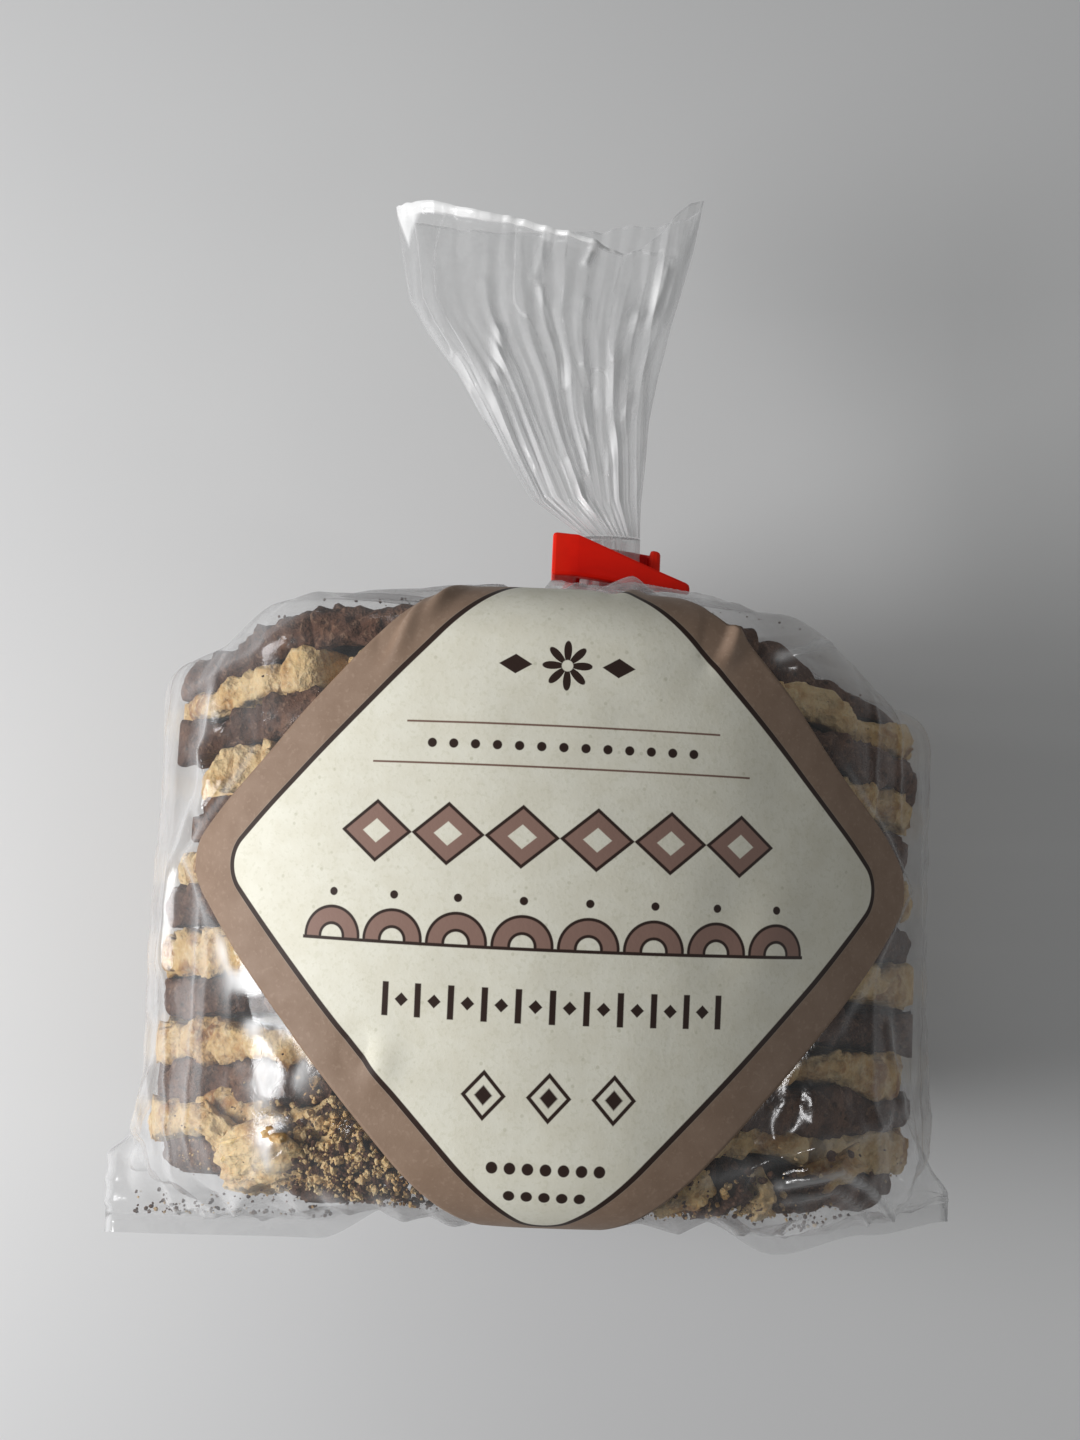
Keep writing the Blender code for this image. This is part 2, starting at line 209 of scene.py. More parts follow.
# The wafers at both ends: finer meshes, how many the film presses back and how far, and how far
# they keep clear of it at the seal and at the right shoulder
END_RINGS = 52
END_SEGMENTS = 60
PRESSED_COUNT = 3
PRESS_LIMIT = 0.0044
PRESS_STEP = 0.0014
SEAL_CLEARANCE = 0.0010
SHOULDER_CLEARANCE = 0.0022

CAMERA_AT = (0.00003, 0.00825, 0.313)
CAMERA_TURN = (math.radians(5.03), math.radians(0.35), math.radians(2.56))
CAMERA_LENS = 35.0
CAMERA_SENSOR = 36.0


# ---------------------------------------------------------------- helpers for shapes

NOISE_SIDE = 32
NOISE_GRID = np.random.default_rng(5).random((NOISE_SIDE,) * 3)
NOISE_SPOTS = np.random.default_rng(6).random((NOISE_SIDE,) * 3 + (3,))
CREASE_WAVES = 6


def smooth(value, low, high):
    """0 below low, 1 above high, and an even ramp between."""
    t = np.clip((np.asarray(value, float) - low) / (high - low), 0.0, 1.0)
    return t * t * (3 - 2 * t)


def plateau(value, low, full, falling, high):
    """1 from full to falling, 0 below low and above high, and even ramps between."""
    return smooth(value, low, full) * (1 - smooth(value, falling, high))


def hump(value, middle, half):
    """1 at the middle, falling evenly to 0 at a half width away."""
    return smooth(half - np.abs(value - middle), 0.0, half)


def grid_index(cell):
    """Index of each cell in a noise grid, which repeats."""
    return tuple(np.moveaxis(cell % NOISE_SIDE, -1, 0))


def noise(points, seed):
    """Smooth noise from 0 to 1 at points (..., 3), whose grains are one unit wide."""
    p = points + np.array((0.37, 7.13, 13.71)) * (seed + 1)
    cell = np.floor(p).astype(int)
    f = p - cell
    f = f * f * (3 - 2 * f)
    shares = (1 - f, f)
    total = 0.0
    for corner in itertools.product((0, 1), repeat=3):
        x, y, z = (shares[far][..., i] for i, far in enumerate(corner))
        total = total + x * y * z * NOISE_GRID[grid_index(cell + corner)]
    return total


def rough(points, seed, octaves):
    """Layered noise from about -1 to 1, each layer about twice as fine and half as strong."""
    sizes = [0.5**i for i in range(octaves)]
    layers = (size * (2 * noise(points * 2.03**i, seed + 3 * i) - 1) for i, size in enumerate(sizes))
    return sum(layers) / sum(sizes)


def ridges(points, seed, sharp):
    """Thin raised lines, from 0 to 1, where noise passes through its middle."""
    return (1 - np.abs(2 * noise(points, seed) - 1)) ** sharp


def lumps(points, seed):
    """Round lumps one unit apart, from about 0 between them to 1 on top."""
    p = points + np.array((3.7, 1.3, 9.1)) * (seed + 1)
    cell = np.floor(p).astype(int)
    nearest = np.full(p.shape[:-1], 9.0)
    for neighbour in itertools.product((-1, 0, 1), repeat=3):
        at = cell + neighbour
        nearest = np.minimum(nearest, ((at + NOISE_SPOTS[grid_index(at)] - p) ** 2).sum(-1))
    return 1 - np.minimum(1.0, nearest / 0.8)


def bell(value, width, power=2):
    """A rounded bump, 1 at the middle and near 0 at twice its width."""
    return np.exp(-((np.abs(value) / width) ** power))


def highest(*parts):
    """The highest of several values at each point."""
    return np.maximum.reduce(np.broadcast_arrays(*parts))


def all_round(count):
    """Even angles round a circle, as one row."""
    return np.linspace(0.0, 2 * np.pi, count, endpoint=False)[None, :]


def zigzag(value):
    """A wave of straight sides between 0 and 1, one unit long."""
    return np.abs(2 * (value % 1.0) - 1)


def crumpled(x, y, seed):
    """Flat facets between sharp creases, from about -1 to 1, as waves that cross at many angles."""
    rng = np.random.default_rng(seed)
    total = 0.0
    for _ in range(CREASE_WAVES):
        turn, pitch, start = rng.uniform(0, np.pi), rng.uniform(0.7, 2.0), rng.random()
        bend = 0.45 * rough(stacked(x * 0.5, y * 0.5, start * 9), seed, 2)
        wave = zigzag((x * math.cos(turn) + y * math.sin(turn)) / pitch + start + bend)
        strength = noise(stacked(x * 0.4, y * 0.4, start * 17), seed + 1)
        total = total + pitch * (2 * wave - 1) * smooth(strength, 0.25, 0.7)
    return total / (0.8 * CREASE_WAVES)


def stacked(*parts):
    """Arrays of coordinates as one array of points."""
    return np.stack(np.broadcast_arrays(*parts), axis=-1)


def plane(x, y):
    """Points in one plane, for noise that varies over two directions."""
    return stacked(x, y, 0)


def line_distance(x, y, points):
    """Distance of (x, y) from a line through points."""
    nearest = np.inf
    for (x0, y0), (x1, y1) in zip(points, points[1:]):
        dx, dy = x1 - x0, y1 - y0
        t = np.clip(((x - x0) * dx + (y - y0) * dy) / (dx * dx + dy * dy), 0.0, 1.0)
        nearest = np.minimum(nearest, np.hypot(x - x0 - t * dx, y - y0 - t * dy))
    return nearest


def folds(rows):
    """Points, height, half width and whiteness, a painted highlight, of folds given in millimetres, in
    metres.
    """
    for height, width, painted_highlight, *points in rows:
        yield np.array(points) / 1000, height / 1000, width / 1000, painted_highlight


def surface_normals(points):
    """Unit normals of a grid of points (rows, columns, 3) whose columns join up."""
    across = np.roll(points, -1, 1) - np.roll(points, 1, 1)
    along = np.gradient(points, axis=0)
    normal = np.cross(across, along)
    length = np.linalg.norm(normal, axis=-1, keepdims=True)
    return normal / np.maximum(length, 1e-12)


def mesh_from(name, vertices, faces, smooth_faces=True):
    """A mesh from arrays of vertices and of faces with three or four corners."""
    mesh = bpy.data.meshes.new(name)
    loops = np.concatenate([block.ravel() for block in faces])
    totals = np.concatenate([np.full(*block.shape) for block in faces])
    mesh.vertices.add(len(vertices))
    mesh.vertices.foreach_set("co", np.asarray(vertices, np.float32).ravel())
    mesh.loops.add(len(loops))
    mesh.loops.foreach_set("vertex_index", loops.astype(np.int32))
    mesh.polygons.add(len(totals))
    mesh.polygons.foreach_set("loop_start", (np.cumsum(totals) - totals).astype(np.int32))
    mesh.update(calc_edges=True)
    mesh.validate()
    mesh.polygons.foreach_set("use_smooth", np.full(len(totals), smooth_faces))
    return mesh


def grid_faces(rows, columns, closed):
    """Corner numbers of the faces of a grid, whose columns join up where closed."""
    i = np.arange(rows - 1)[:, None]
    j = np.arange(columns if closed else columns - 1)[None, :]
    k = (j + 1) % columns
    corners = (i * columns + j, i * columns + k, (i + 1) * columns + k, (i + 1) * columns + j)
    return stacked(*corners).reshape(-1, 4)


def cap_faces(start, columns, hub, outward):
    """Triangles from a closed row of a grid to a hub vertex."""
    j = np.arange(columns)
    k = (j + 1) % columns
    corners = (start + j, start + k, np.full(columns, hub))
    return np.stack(corners if outward else corners[::-1], -1)


def set_uv(mesh, uv):
    """Gives each vertex of a mesh its place on the texture plane."""
    layer = mesh.uv_layers.new(name="UVMap")
    index = np.empty(len(mesh.loops), np.int32)
    mesh.loops.foreach_get("vertex_index", index)
    layer.data.foreach_set("uv", np.asarray(uv, np.float32)[index].ravel())


def set_share(mesh, name, values):
    """Stores one number for each vertex under a name that materials read."""
    layer = mesh.attributes.new(name, "FLOAT", "POINT")
    layer.data.foreach_set("value", np.asarray(values, np.float32).ravel())


def add_piece(mesh, material, slot, *replaced):
    """Puts a mesh in the scene as a piece that rides on the bag."""
    mesh.materials.append(material)
    piece = bpy.data.objects.new(mesh.name, mesh)
    bpy.context.scene.collection.objects.link(piece)
    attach(piece, "root")
    if replaced:
        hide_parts(*replaced)
    return piece


# ---------------------------------------------------------------- the bag's surface


def top_arc(s):
    """Places and outward normals, as x, z, nx, nz, at arc lengths s to the right of the middle."""
    side = np.where(s < 0, -1.0, 1.0)
    flat = np.abs(s) <= TOP_ARC
    angle = np.where(flat, np.abs(s) / TOP_RADIUS, TOP_ANGLE + (np.abs(s) - TOP_ARC) / SIDE_RADIUS)
    x = np.where(flat, TOP_RADIUS * np.sin(angle), HALF_WIDTH - SIDE_RADIUS * (1 - np.sin(angle)))
    z = np.where(flat, TOP_Z - TOP_RADIUS * (1 - np.cos(angle)),
                 WIDEST_Z + SIDE_RADIUS * np.cos(angle))
    return side * x, z, side * np.sin(angle), np.cos(angle)


def belly(t):
    """Places and outward normals, as x, z, nx, nz, for t from 0 at the left to 1 at the right."""
    angle = np.pi * (1 + t)
    cos, sin = np.cos(angle), np.sin(angle)
    x = HALF_WIDTH * np.sign(cos) * np.abs(cos) ** (2 / BELLY_POWER)
    z = WIDEST_Z - (WIDEST_Z + BELLY_DIP) * np.abs(sin) ** (2 / BELLY_POWER)
    length = np.hypot(x, z - CENTRE_Z)
    return x, z, x / length, (z - CENTRE_Z) / length


def settled(p):
    """Points as the filled bag slumps along -Y: the lower end leans out, most at half height and
    below, and the upper end's corners drop."""
    x, y, z = p[..., 0], p[..., 1], p[..., 2]
    out = smooth(-y, 0.0, -LOWER_BEND[0]) * smooth(TOP_Z - z, 0.0, LEAN_DEPTH)
    drop = np.where(x < 0, SHOULDER_DROP_LEFT, SHOULDER_DROP_RIGHT)
    drop = drop * smooth(np.abs(x), SHOULDER_FROM_X, SHOULDER_TO_X)
    drop = drop * smooth(y, SHOULDER_FROM_Y, UPPER_BEND[0])
    return stacked(x, y - LEAN * out - drop, z)


def with_ear(x, y, z):
    """x drawn out to the ear that runs into each end of the seal."""
    ridge = np.maximum(0.0, 1 - np.abs(z - SEAL_Z) / EAR_HALF_HEIGHT) ** 2
    share = ridge * smooth(-y, -EAR_FROM_Y, -EAR_FULL_Y)
    return x + (np.copysign(EAR_HALF_WIDTH, x) - x) * share


def neck_point(angle, y):
    """Points on the gathered neck's oval."""
    return stacked(NECK[0] + NECK_HALF[0] * np.cos(angle), y, NECK[2] + NECK_HALF[1] * np.sin(angle))


def around(p):
    """Angle of points round the middle of the bag, seen along Y."""
    return np.arctan2(p[..., 2] - CENTRE_Z, p[..., 0])


def gathered(rim, share):
    """Points a share of the way from the rim of the upper end to the neck."""
    share = np.asarray(share)[..., None] * np.ones(3)
    foot = neck_point(around(rim), NECK[1])
    share[..., 1] = share[..., 1] ** GATHER_POWER
    return rim + (foot - rim) * share


def seal_line(x):
    """y of the seal at x: it hangs at the left, rises in the middle and dips once at the right."""
    y = SEAL_LINE[0][1]
    for (x0, y0), (x1, y1) in zip(SEAL_LINE, SEAL_LINE[1:]):
        y = y + (y1 - y0) * smooth(x, x0, x1)
    return y


def seal_point(p, fin=0.0):
    """Where rim points lie on the flat seal."""
    side = np.clip((p[..., 2] - SEAL_Z) / SEAL_PINCH, -1.0, 1.0)
    return stacked(p[..., 0], seal_line(p[..., 0]) - fin, SEAL_Z + side * SEAL_HALF_THICKNESS)


def along_top(s, m):
    """Points and normals on the film at arc lengths s across and m along the top."""
    x, z, nx, nz = top_arc(s)
    upper = m > 0
    start, radius, slope = (np.where(upper, a, b) for a, b in zip(UPPER_BEND, LOWER_BEND))
    outward = np.sign(start)
    past = np.maximum(0.0, np.abs(m) - np.abs(start))
    bend = np.minimum(past / radius, slope)
    inset = radius * (1 - np.cos(bend))
    y = np.where(past > 0, start + outward * radius * np.sin(bend), m)
    point = settled(stacked(x - nx * inset, y, z - nz * inset))
    rest = np.maximum(0.0, past - radius * slope)
    foot = np.where(upper[..., None], gathered(point, np.ones_like(s)), seal_point(point))
    share = rest / np.linalg.norm(foot - point, axis=-1)
    ended = point + (foot - point) * share[..., None]
    point = np.where(upper[..., None], gathered(point, share), ended)
    return point, stacked(nx * np.cos(bend), outward * np.sin(bend), nz * np.cos(bend))


class Film:
    """The film round the wafers as a grid: a row of points for each station m along the bag, and a
    column for each arc length s across it. A finer grid has a smaller coarseness."""

    def __init__(self, coarseness=1.0):
        top_steps = round(FILM_TOP_STEPS / coarseness)
        belly_steps = round(FILM_BELLY_STEPS / coarseness)
        s = HALF_ARC * (1 - 2 * np.arange(top_steps) / top_steps)
        sides = zip(top_arc(s), belly(np.arange(belly_steps) / belly_steps))
        self.x, self.z, self.nx, self.nz = (np.concatenate(pair) for pair in sides)
        step = np.hypot(np.diff(self.x, append=self.x[:1]), np.diff(self.z, append=self.z[:1]))
        self.s = HALF_ARC - np.concatenate([[0.0], np.cumsum(step)[:-1]])
        stations = list(self.stations(coarseness))
        self.m = np.array([m for m, _ in stations])
        self.points = np.array([row for _, row in stations])

    def ring(self, y, inset):
        """The row at y, drawn in by an inset."""
        z = np.maximum(0.0, self.z - self.nz * inset)
        return settled(stacked(with_ear(self.x - self.nx * inset, y, z), y, z))

    def bent(self, bend, past):
        """The row a length past the start of a bend."""
        start, radius, _ = bend
        angle = past / radius
        return self.ring(start + math.copysign(radius * math.sin(angle), start),
                         radius * (1 - math.cos(angle)))

    def stations(self, coarseness):
        """Each station's place along the bag, and its row of points."""
        def spaced(low, high, step):
            return np.linspace(low, high, max(2, round(abs(high - low) / step / coarseness) + 1))

        rim = self.bent(LOWER_BEND, LOWER_ARC)
        for fin in (SEAL_FIN, SEAL_FIN * 0.6, SEAL_FIN * 0.3):
            yield SEAL_M - fin, seal_point(rim, fin)
        for share in spaced(1.0, 0.0, 0.02)[:-1]:
            yield LOWER_RIM - SEAL_REACH * share, rim + (seal_point(rim) - rim) * share
        for past in spaced(LOWER_ARC, 0.0, FILM_ROW):
            yield LOWER_BEND[0] - past, self.bent(LOWER_BEND, past)
        for y in spaced(LOWER_BEND[0], UPPER_BEND[0], FILM_ROW)[1:-1]:
            yield y, self.ring(y, 0.0)
        for past in spaced(0.0, UPPER_ARC, FILM_ROW):
            yield UPPER_BEND[0] + past, self.bent(UPPER_BEND, past)
        rim = self.bent(UPPER_BEND, UPPER_ARC)
        for share in spaced(0.0, 1.0, 0.012)[1:]:
            yield UPPER_RIM + NECK_REACH * share, gathered(rim, np.full(len(self.x), share))
        for y in spaced(NECK[1], NECK_END_Y, 0.0010)[1:]:
            yield NECK_M + y - NECK[1], neck_point(around(rim), y)


class Room:
    """The space inside the film, as how far it reaches from the bag's long axis at each angle and y,
    and how far it runs along Y at each angle and share of the way out from that axis."""

    ANGLES = 180
    STATIONS = np.linspace(-0.054, 0.047, 90)
    SHARES = np.linspace(0.0, 0.88, 23)

    def __init__(self):
        film = Film(3.0)
        rows, columns = film.points.shape[:2]
        self.tree = BVHTree.FromPolygons([Vector(p) for p in film.points.reshape(-1, 3)],
                                         grid_faces(rows, columns, True).tolist())
        turns = np.arange(self.ANGLES) * 2 * math.pi / self.ANGLES
        self.reach = np.array([[self.distance((0, y, WAFER_CENTRE_Z), (math.cos(a), 0, math.sin(a)))
                                for a in turns] for y in self.STATIONS])
        reach = self.radius(turns, 0)
        rays = np.array([[[self.distance((r * math.cos(a), 0, WAFER_CENTRE_Z + r * math.sin(a) + up),
                                         (0, way, 0))
                           for way, up in ((1, 0), (-1, 0), (-1, 0.004), (-1, -0.004))]
                          for a, r in zip(turns, reach * share)] for share in self.SHARES])
        low, high = -rays[..., 1:].min(-1), rays[..., 0]
        for _ in range(3):
            low, high = ((np.roll(t, 1, 1) + 2 * t + np.roll(t, -1, 1)) / 4 for t in (low, high))
        self.low, self.high = low, high

    def distance(self, start, way):
        """How far the film is from a point, or 0 where nothing is in the way."""
        found = self.tree.ray_cast(Vector(start), Vector(way))[3]
        return found or 0.0

    def between(self, table, steps, at, angle):
        """The value of a table with a row for each step and a column for each angle."""
        row = np.interp(at, steps, np.arange(len(steps)))
        column = (angle / (2 * np.pi) * self.ANGLES) % self.ANGLES
        i, j = np.minimum(row.astype(int), len(steps) - 2), column.astype(int) % self.ANGLES
        fi, fj, k = row - i, column - column.astype(int), (j + 1) % self.ANGLES
        first = table[i, j] * (1 - fj) + table[i, k] * fj
        second = table[i + 1, j] * (1 - fj) + table[i + 1, k] * fj
        return first * (1 - fi) + second * fi

    def radius(self, angle, y):
        """How far the film is from the axis at an angle and y."""
        return self.between(self.reach, self.STATIONS, y, angle)

    def span(self, angle, r):
        """Lowest and highest y inside the film at an angle and a distance from the axis."""
        share = 0.96 * r / self.radius(angle, 0)
        return (self.between(table, self.SHARES, share, angle) for table in (self.low, self.high))


def off_label(s, m, clear=0.004):
    """0 under the label and 1 well clear of it."""
    distance = (np.abs(s - LABEL_AT[0]) + np.abs(m - LABEL_AT[1])) / math.sqrt(2) - LABEL_SIDE / 2
    return smooth(distance, 0.0005, clear)


def between_wafers(y, z):
    """1 over the gaps between wafers and 0 over their rims."""
    share = smooth(TOP_Z - z, 0.0, WAFER_SAG_DEPTH)
    top_y = (y + WAFER_SAG * share) / (1 + WAFER_FAN * share)
    return (1 + np.cos(2 * np.pi * (STACK_TO_Y - top_y) / WAFER_PITCH)) / 2


def side_share(x):
    """0 over the bag's top and 1 at its sides."""
    return smooth(np.abs(x), SIDE_FROM_X, SIDE_TO_X)


def side_inset(x):
    """How far the film at the bag's sides lies inside the plain surface."""
    return SIDE_INSET * side_share(x)


def film_relief(film):
    """How far each point of the film stands out from the plain surface."""
    s, m = np.meshgrid(film.s, film.m)
    p = film.points
    x, y, z = p[..., 0], p[..., 1], p[..., 2]
    side = side_share(x)
    cone = smooth(m, UPPER_BEND[0] + 0.004, UPPER_RIM + 0.002)
    end = smooth(-m, 0.036, 0.044)
    middle = (1 - cone) * (1 - end)
    patchy = 0.4 + 0.6 * rough(plane(s / 0.03, m / 0.03), 14, 1)
    relief = -0.0005 * between_wafers(y, z) * middle * patchy * (1 - 0.5 * side) - middle * side_inset(x)
    # Over the wafers: long folds down the sides, and facets and fine lines, most at the right
    long_folds = crumpled(s / 0.011, m / 0.060, 3)
    facets = crumpled(s / 0.012, m / 0.016, 5)
    right = smooth(s, -0.01, 0.02)
    relief += middle * side * (0.0010 * long_folds + 0.00025 * facets)
    relief += middle * (1 - side) * (0.00016 + 0.00034 * right) * facets
    lines = ridges(plane(s / 0.006, m / 0.045), 1, 6)
    relief += middle * 0.0005 * lines * (0.15 + 0.85 * np.maximum(side, right))
    # Upper end: pleats run into the neck, and the film is blown out at the left
    angle = np.arctan2(z - CENTRE_Z, x)
    spread = cone * (1 - smooth(m, UPPER_RIM + 0.8 * NECK_REACH, NECK_M))
    sway = rough(plane(angle * 1.5, m / 0.05), 6, 2)
    broad = zigzag(3.2 * angle / np.pi * 2 + 0.9 * sway)
    fine = zigzag(9 * angle / np.pi * 2 + 1.3 * sway + 0.4 * broad)
    deep = smooth(m, UPPER_RIM, UPPER_RIM + 0.5 * NECK_REACH)
    relief += spread * (0.0016 * (broad - 0.5) + (0.0006 + 0.0010 * deep) * (fine - 0.5))
    relief -= cone * (1 - deep) * side_inset(x)
    ruffle = hump(x, 0.0115, 0.0145) * hump(z, 0.112, 0.016) * cone
    relief += ruffle * (0.0018 + 0.0008 * zigzag((x - 0.002) / 0.0095))
    # Lower end: fans of creases out of the seal
    fan = zigzag(x / 0.0085 + 0.6 * rough(plane(x / 0.02, z / 0.02), 9, 2))
    relief += end * (1 - smooth(-m, 0.057, 0.060)) * (0.0012 * (fan - 0.4) + 0.0007 * facets)
    fold = sum(height * bell(line_distance(x, y, points), width, 1.3)
               for points, height, width, _ in folds(FOLDS))
    relief += fold * smooth(z, FOLD_FROM_Z, FOLD_TO_Z)
    crackle = 0.06 + 0.35 * side + 0.6 * end + 1.2 * right * hump(m, -0.024, 0.020)
    relief += 0.00022 * crumpled(s / 0.0042, m / 0.0042, 7) * crackle
    return relief * off_label(s, m) * (1 - smooth(-m, 0.0605, 0.0615))


def bag_film():
    """The film from the seal's fin to the end of the gathered neck."""
    film = Film()
    normals = surface_normals(film.points)
    centre = np.array((0, 0, CENTRE_Z))
    outward = np.sign(((film.points - centre) * normals).sum(-1).mean())
    relief = film_relief(film)
    points = film.points + normals * outward * relief[..., None]
    points[..., 2] = np.maximum(points[..., 2], 0.0)
    rows, columns = points.shape[:2]
    vertices = np.concatenate([points.reshape(-1, 3), points[-1].mean(0)[None]])
    faces = [grid_faces(rows, columns, True)[:, ::-1],
             cap_faces((rows - 1) * columns, columns, rows * columns, False)]
    mesh = mesh_from("bag_film", vertices, faces)
    # White along the seal, where the film lies doubled and a painted highlight is added, white in the neck
    # where it is gathered over itself, and a painted highlight along each fold
    seal = 0.16 * smooth(-film.m, -SEAL_M - 0.0005, -SEAL_M + 0.0006)
    x, y, z = film.points[..., 0], film.points[..., 1], film.points[..., 2]
    white = [seal[:, None]]
    for line, _, width, painted_highlight in folds(FOLDS):
        near = bell(line_distance(x, y, line), 0.6 * width) * smooth(z, FOLD_FROM_Z, FOLD_TO_Z)
        patch = noise(plane(x / 0.003, y / 0.003), 31)
        # The two broad folds beside the label's lower left edge get a large blotchy patch of painted
        # highlight
        broad = smooth(width, 0.0030, 0.0034)
        patch = (0.4 + patch) * (1 - broad) + 1.7 * smooth(patch, 0.28, 0.62) * broad
        white.append(painted_highlight * near * patch)
    angle = np.arctan2(z - NECK[2], x - NECK[0])
    neck = smooth(film.m, UPPER_RIM + 0.6 * NECK_REACH, NECK_M)[:, None]
    white.append(0.6 * neck * noise(plane(angle * 6, y / 0.02), 12))
    set_share(mesh, "seal", np.append(highest(*white).ravel(), 0.0))
    return mesh


def mouth_pleats(across, share, seed):
    """Height of the mouth's pleats at places across it, from -1 to 1 between its side edges."""
    sway = rough(plane(across * 1.1, share * 1.7), seed, 3)
    broad = zigzag(2.6 * across + 0.55 * sway + 0.13 * seed)
    narrow = zigzag(6.5 * across + 1.1 * sway + 0.31 * seed)
    fine = zigzag(14.0 * across + 1.9 * sway)
    calm = 1 - smooth(share, 0.35, 0.80) * (0.55 + 0.35 * smooth(-across, -0.15, 0.45))
    patch = 0.35 + 1.1 * noise(stacked(across * 3.0, share * 4.0, seed), seed)
    height = 0.0019 * (broad - 0.5) * (0.3 + 0.7 * calm) + 0.0015 * (narrow - 0.5) * patch * calm
    return height + 0.0004 * (fine - 0.5) * (1 - share) ** 2 * patch


def mouth_film():
    """The spare film past the clip, open at its far end."""
    share = np.linspace(0.0, 1.0, MOUTH_ROWS)[:, None] ** 0.9
    angle = all_round(MOUTH_COLUMNS)
    cos, sin = np.cos(angle), np.sin(angle)
    shares, lefts, rights = zip(*MOUTH_SIDES)
    left, right = np.interp(share, shares, lefts), np.interp(share, shares, rights)
    start = np.array((NECK[0], MOUTH_START_Y, NECK[2]))
    centre = start + (MOUTH_END - start) * share[..., None]
    half_z = NECK_HALF[1] + (MOUTH_HALF_Z - NECK_HALF[1]) * share**0.9
    side_fold = 0.07 * rough(stacked(cos * 1.5, sin * 1.5, share * 2.0), 4, 2) * smooth(share, 0, 0.3)
    x = (left + right) / 2 + (right - left) / 2 * (0.985 + side_fold) * cos
    layer = smooth(sin, -0.25, 0.25)
    across = cos * (1 + 0.25 * share)
    front, back = mouth_pleats(across, share, 3), mouth_pleats(across, share, 8)
    room = smooth(share, 0.0, 0.35) * 0.8 + 0.2
    z = centre[..., 2] + 0.86 * half_z * sin + room * (layer * front - (1 - layer) * back)
    # The front lip runs down to the right, and the back reaches up to the right corner
    corner = smooth(cos, 0.45, 0.95)
    drop = layer * ((0.0008 + 0.0084 * (1 + cos)) * (1 - corner)) - 0.0024 * (1 + cos) / 2
    y = centre[..., 1] - share**2 * drop
    y = y + 0.0012 * share**2 * rough(plane(cos * 2.5, sin * 2.5), 7, 3)
    facets = crumpled(x / 0.010, y / 0.020, 12)
    z = z + smooth(share, 0.1, 0.5) * (0.0009 * facets + 0.0003 * crumpled(x / 0.004, y / 0.007, 13))
    curl = smooth(share, 0.955, 1.0) * smooth(sin, 0.0, 0.4) * smooth(-cos, -0.55, -0.2)
    z = z + 0.0018 * curl
    # White: a painted highlight along the front lip, its left corner, the open end, the ridges of the
    # pleats and the pressed streaks, and milky film that is thickest near the neck
    bent = np.abs(angle - 2.8)
    corner_highlight = smooth(share, 0.85 + 0.35 * bent, 0.90 + 0.35 * bent)
    lip_highlight = smooth(share, 0.978 + 0.014 * cos, 0.983 + 0.014 * cos) \
        * smooth(sin, 0.02, 0.1) * smooth(-cos, -0.6, -0.35)
    cloud = noise(plane(across * 4, share * 4), 9)
    milk = (0.10 + 0.42 * smooth(-share, -0.60, -0.02)) * smooth(cloud, 0.2, 0.8)
    pleat_highlight = smooth(ridges(plane(across * 5, share * 2.2), 17, 8), 0.75, 0.95)
    pleat_highlight = 0.40 * pleat_highlight * layer * smooth(share, 0.1, 0.4)
    end_highlight = 0.25 * smooth(share, 0.990, 0.994)
    white = [lip_highlight, 0.9 * corner_highlight * layer, pleat_highlight, end_highlight, milk]
    for points, height, width, painted_highlight in folds(MOUTH_STREAKS):
        near = bell(line_distance(x, y, points), width)
        z = z + height * near * layer
        patch = 0.6 + 1.7 * noise(plane(x / 0.0015, y / 0.007), 5)
        white.append(painted_highlight * near * layer * patch)
    points = stacked(x, y, z)
    mesh = mesh_from("mouth_film", points.reshape(-1, 3),
                     [grid_faces(MOUTH_ROWS, MOUTH_COLUMNS, True)[:, ::-1]])
    set_share(mesh, "seal", highest(*white))
    return mesh


# ---------------------------------------------------------------- label


def label_crease(u, v):
    """How far the paper stands up from the film, in metres, at label places in millimetres."""
    lift = 0.00035 * rough(plane(u / 14, v / 14), 11, 2)
    for cu, cv, reach, width, height in LABEL_FOLDS:
        along = ((u - cu) * 0.4 + (v - cv) * 0.92) / reach
        across = ((u - cu) * 0.92 - (v - cv) * 0.4) / width
        lift = lift + height * bell(along, 1) * across * bell(across, 1) * 1.6
    return lift


def label_sheet():
    """The diamond of paper that follows the film and folds over both ends of the stack."""
    half = LABEL_SIDE / 2
    flat = half - LABEL_CORNER
    a = np.linspace(-half, half, LABEL_STEPS)[:, None]
    past = np.maximum(0.0, np.abs(a) - flat)
    reach = flat + np.sqrt(np.maximum(0.0, LABEL_CORNER**2 - past**2))
    b = reach * np.linspace(-1.0, 1.0, LABEL_STEPS)[None, :]
    u, v = (a - b) / math.sqrt(2), (a + b) / math.sqrt(2)
    point, normal = along_top(LABEL_AT[0] + u, LABEL_AT[1] + v)
    lift = LABEL_GAP + np.maximum(-0.0002, label_crease(u * 1000, v * 1000))
    points = point + normal * lift[..., None]
    mesh = mesh_from("label_sheet", points.reshape(-1, 3),
                     [grid_faces(LABEL_STEPS, LABEL_STEPS, False)])
    set_uv(mesh, np.stack([u, v], -1).reshape(-1, 2) / PRINT_SPAN + 0.5)
    return mesh


# ---------------------------------------------------------------- wafers


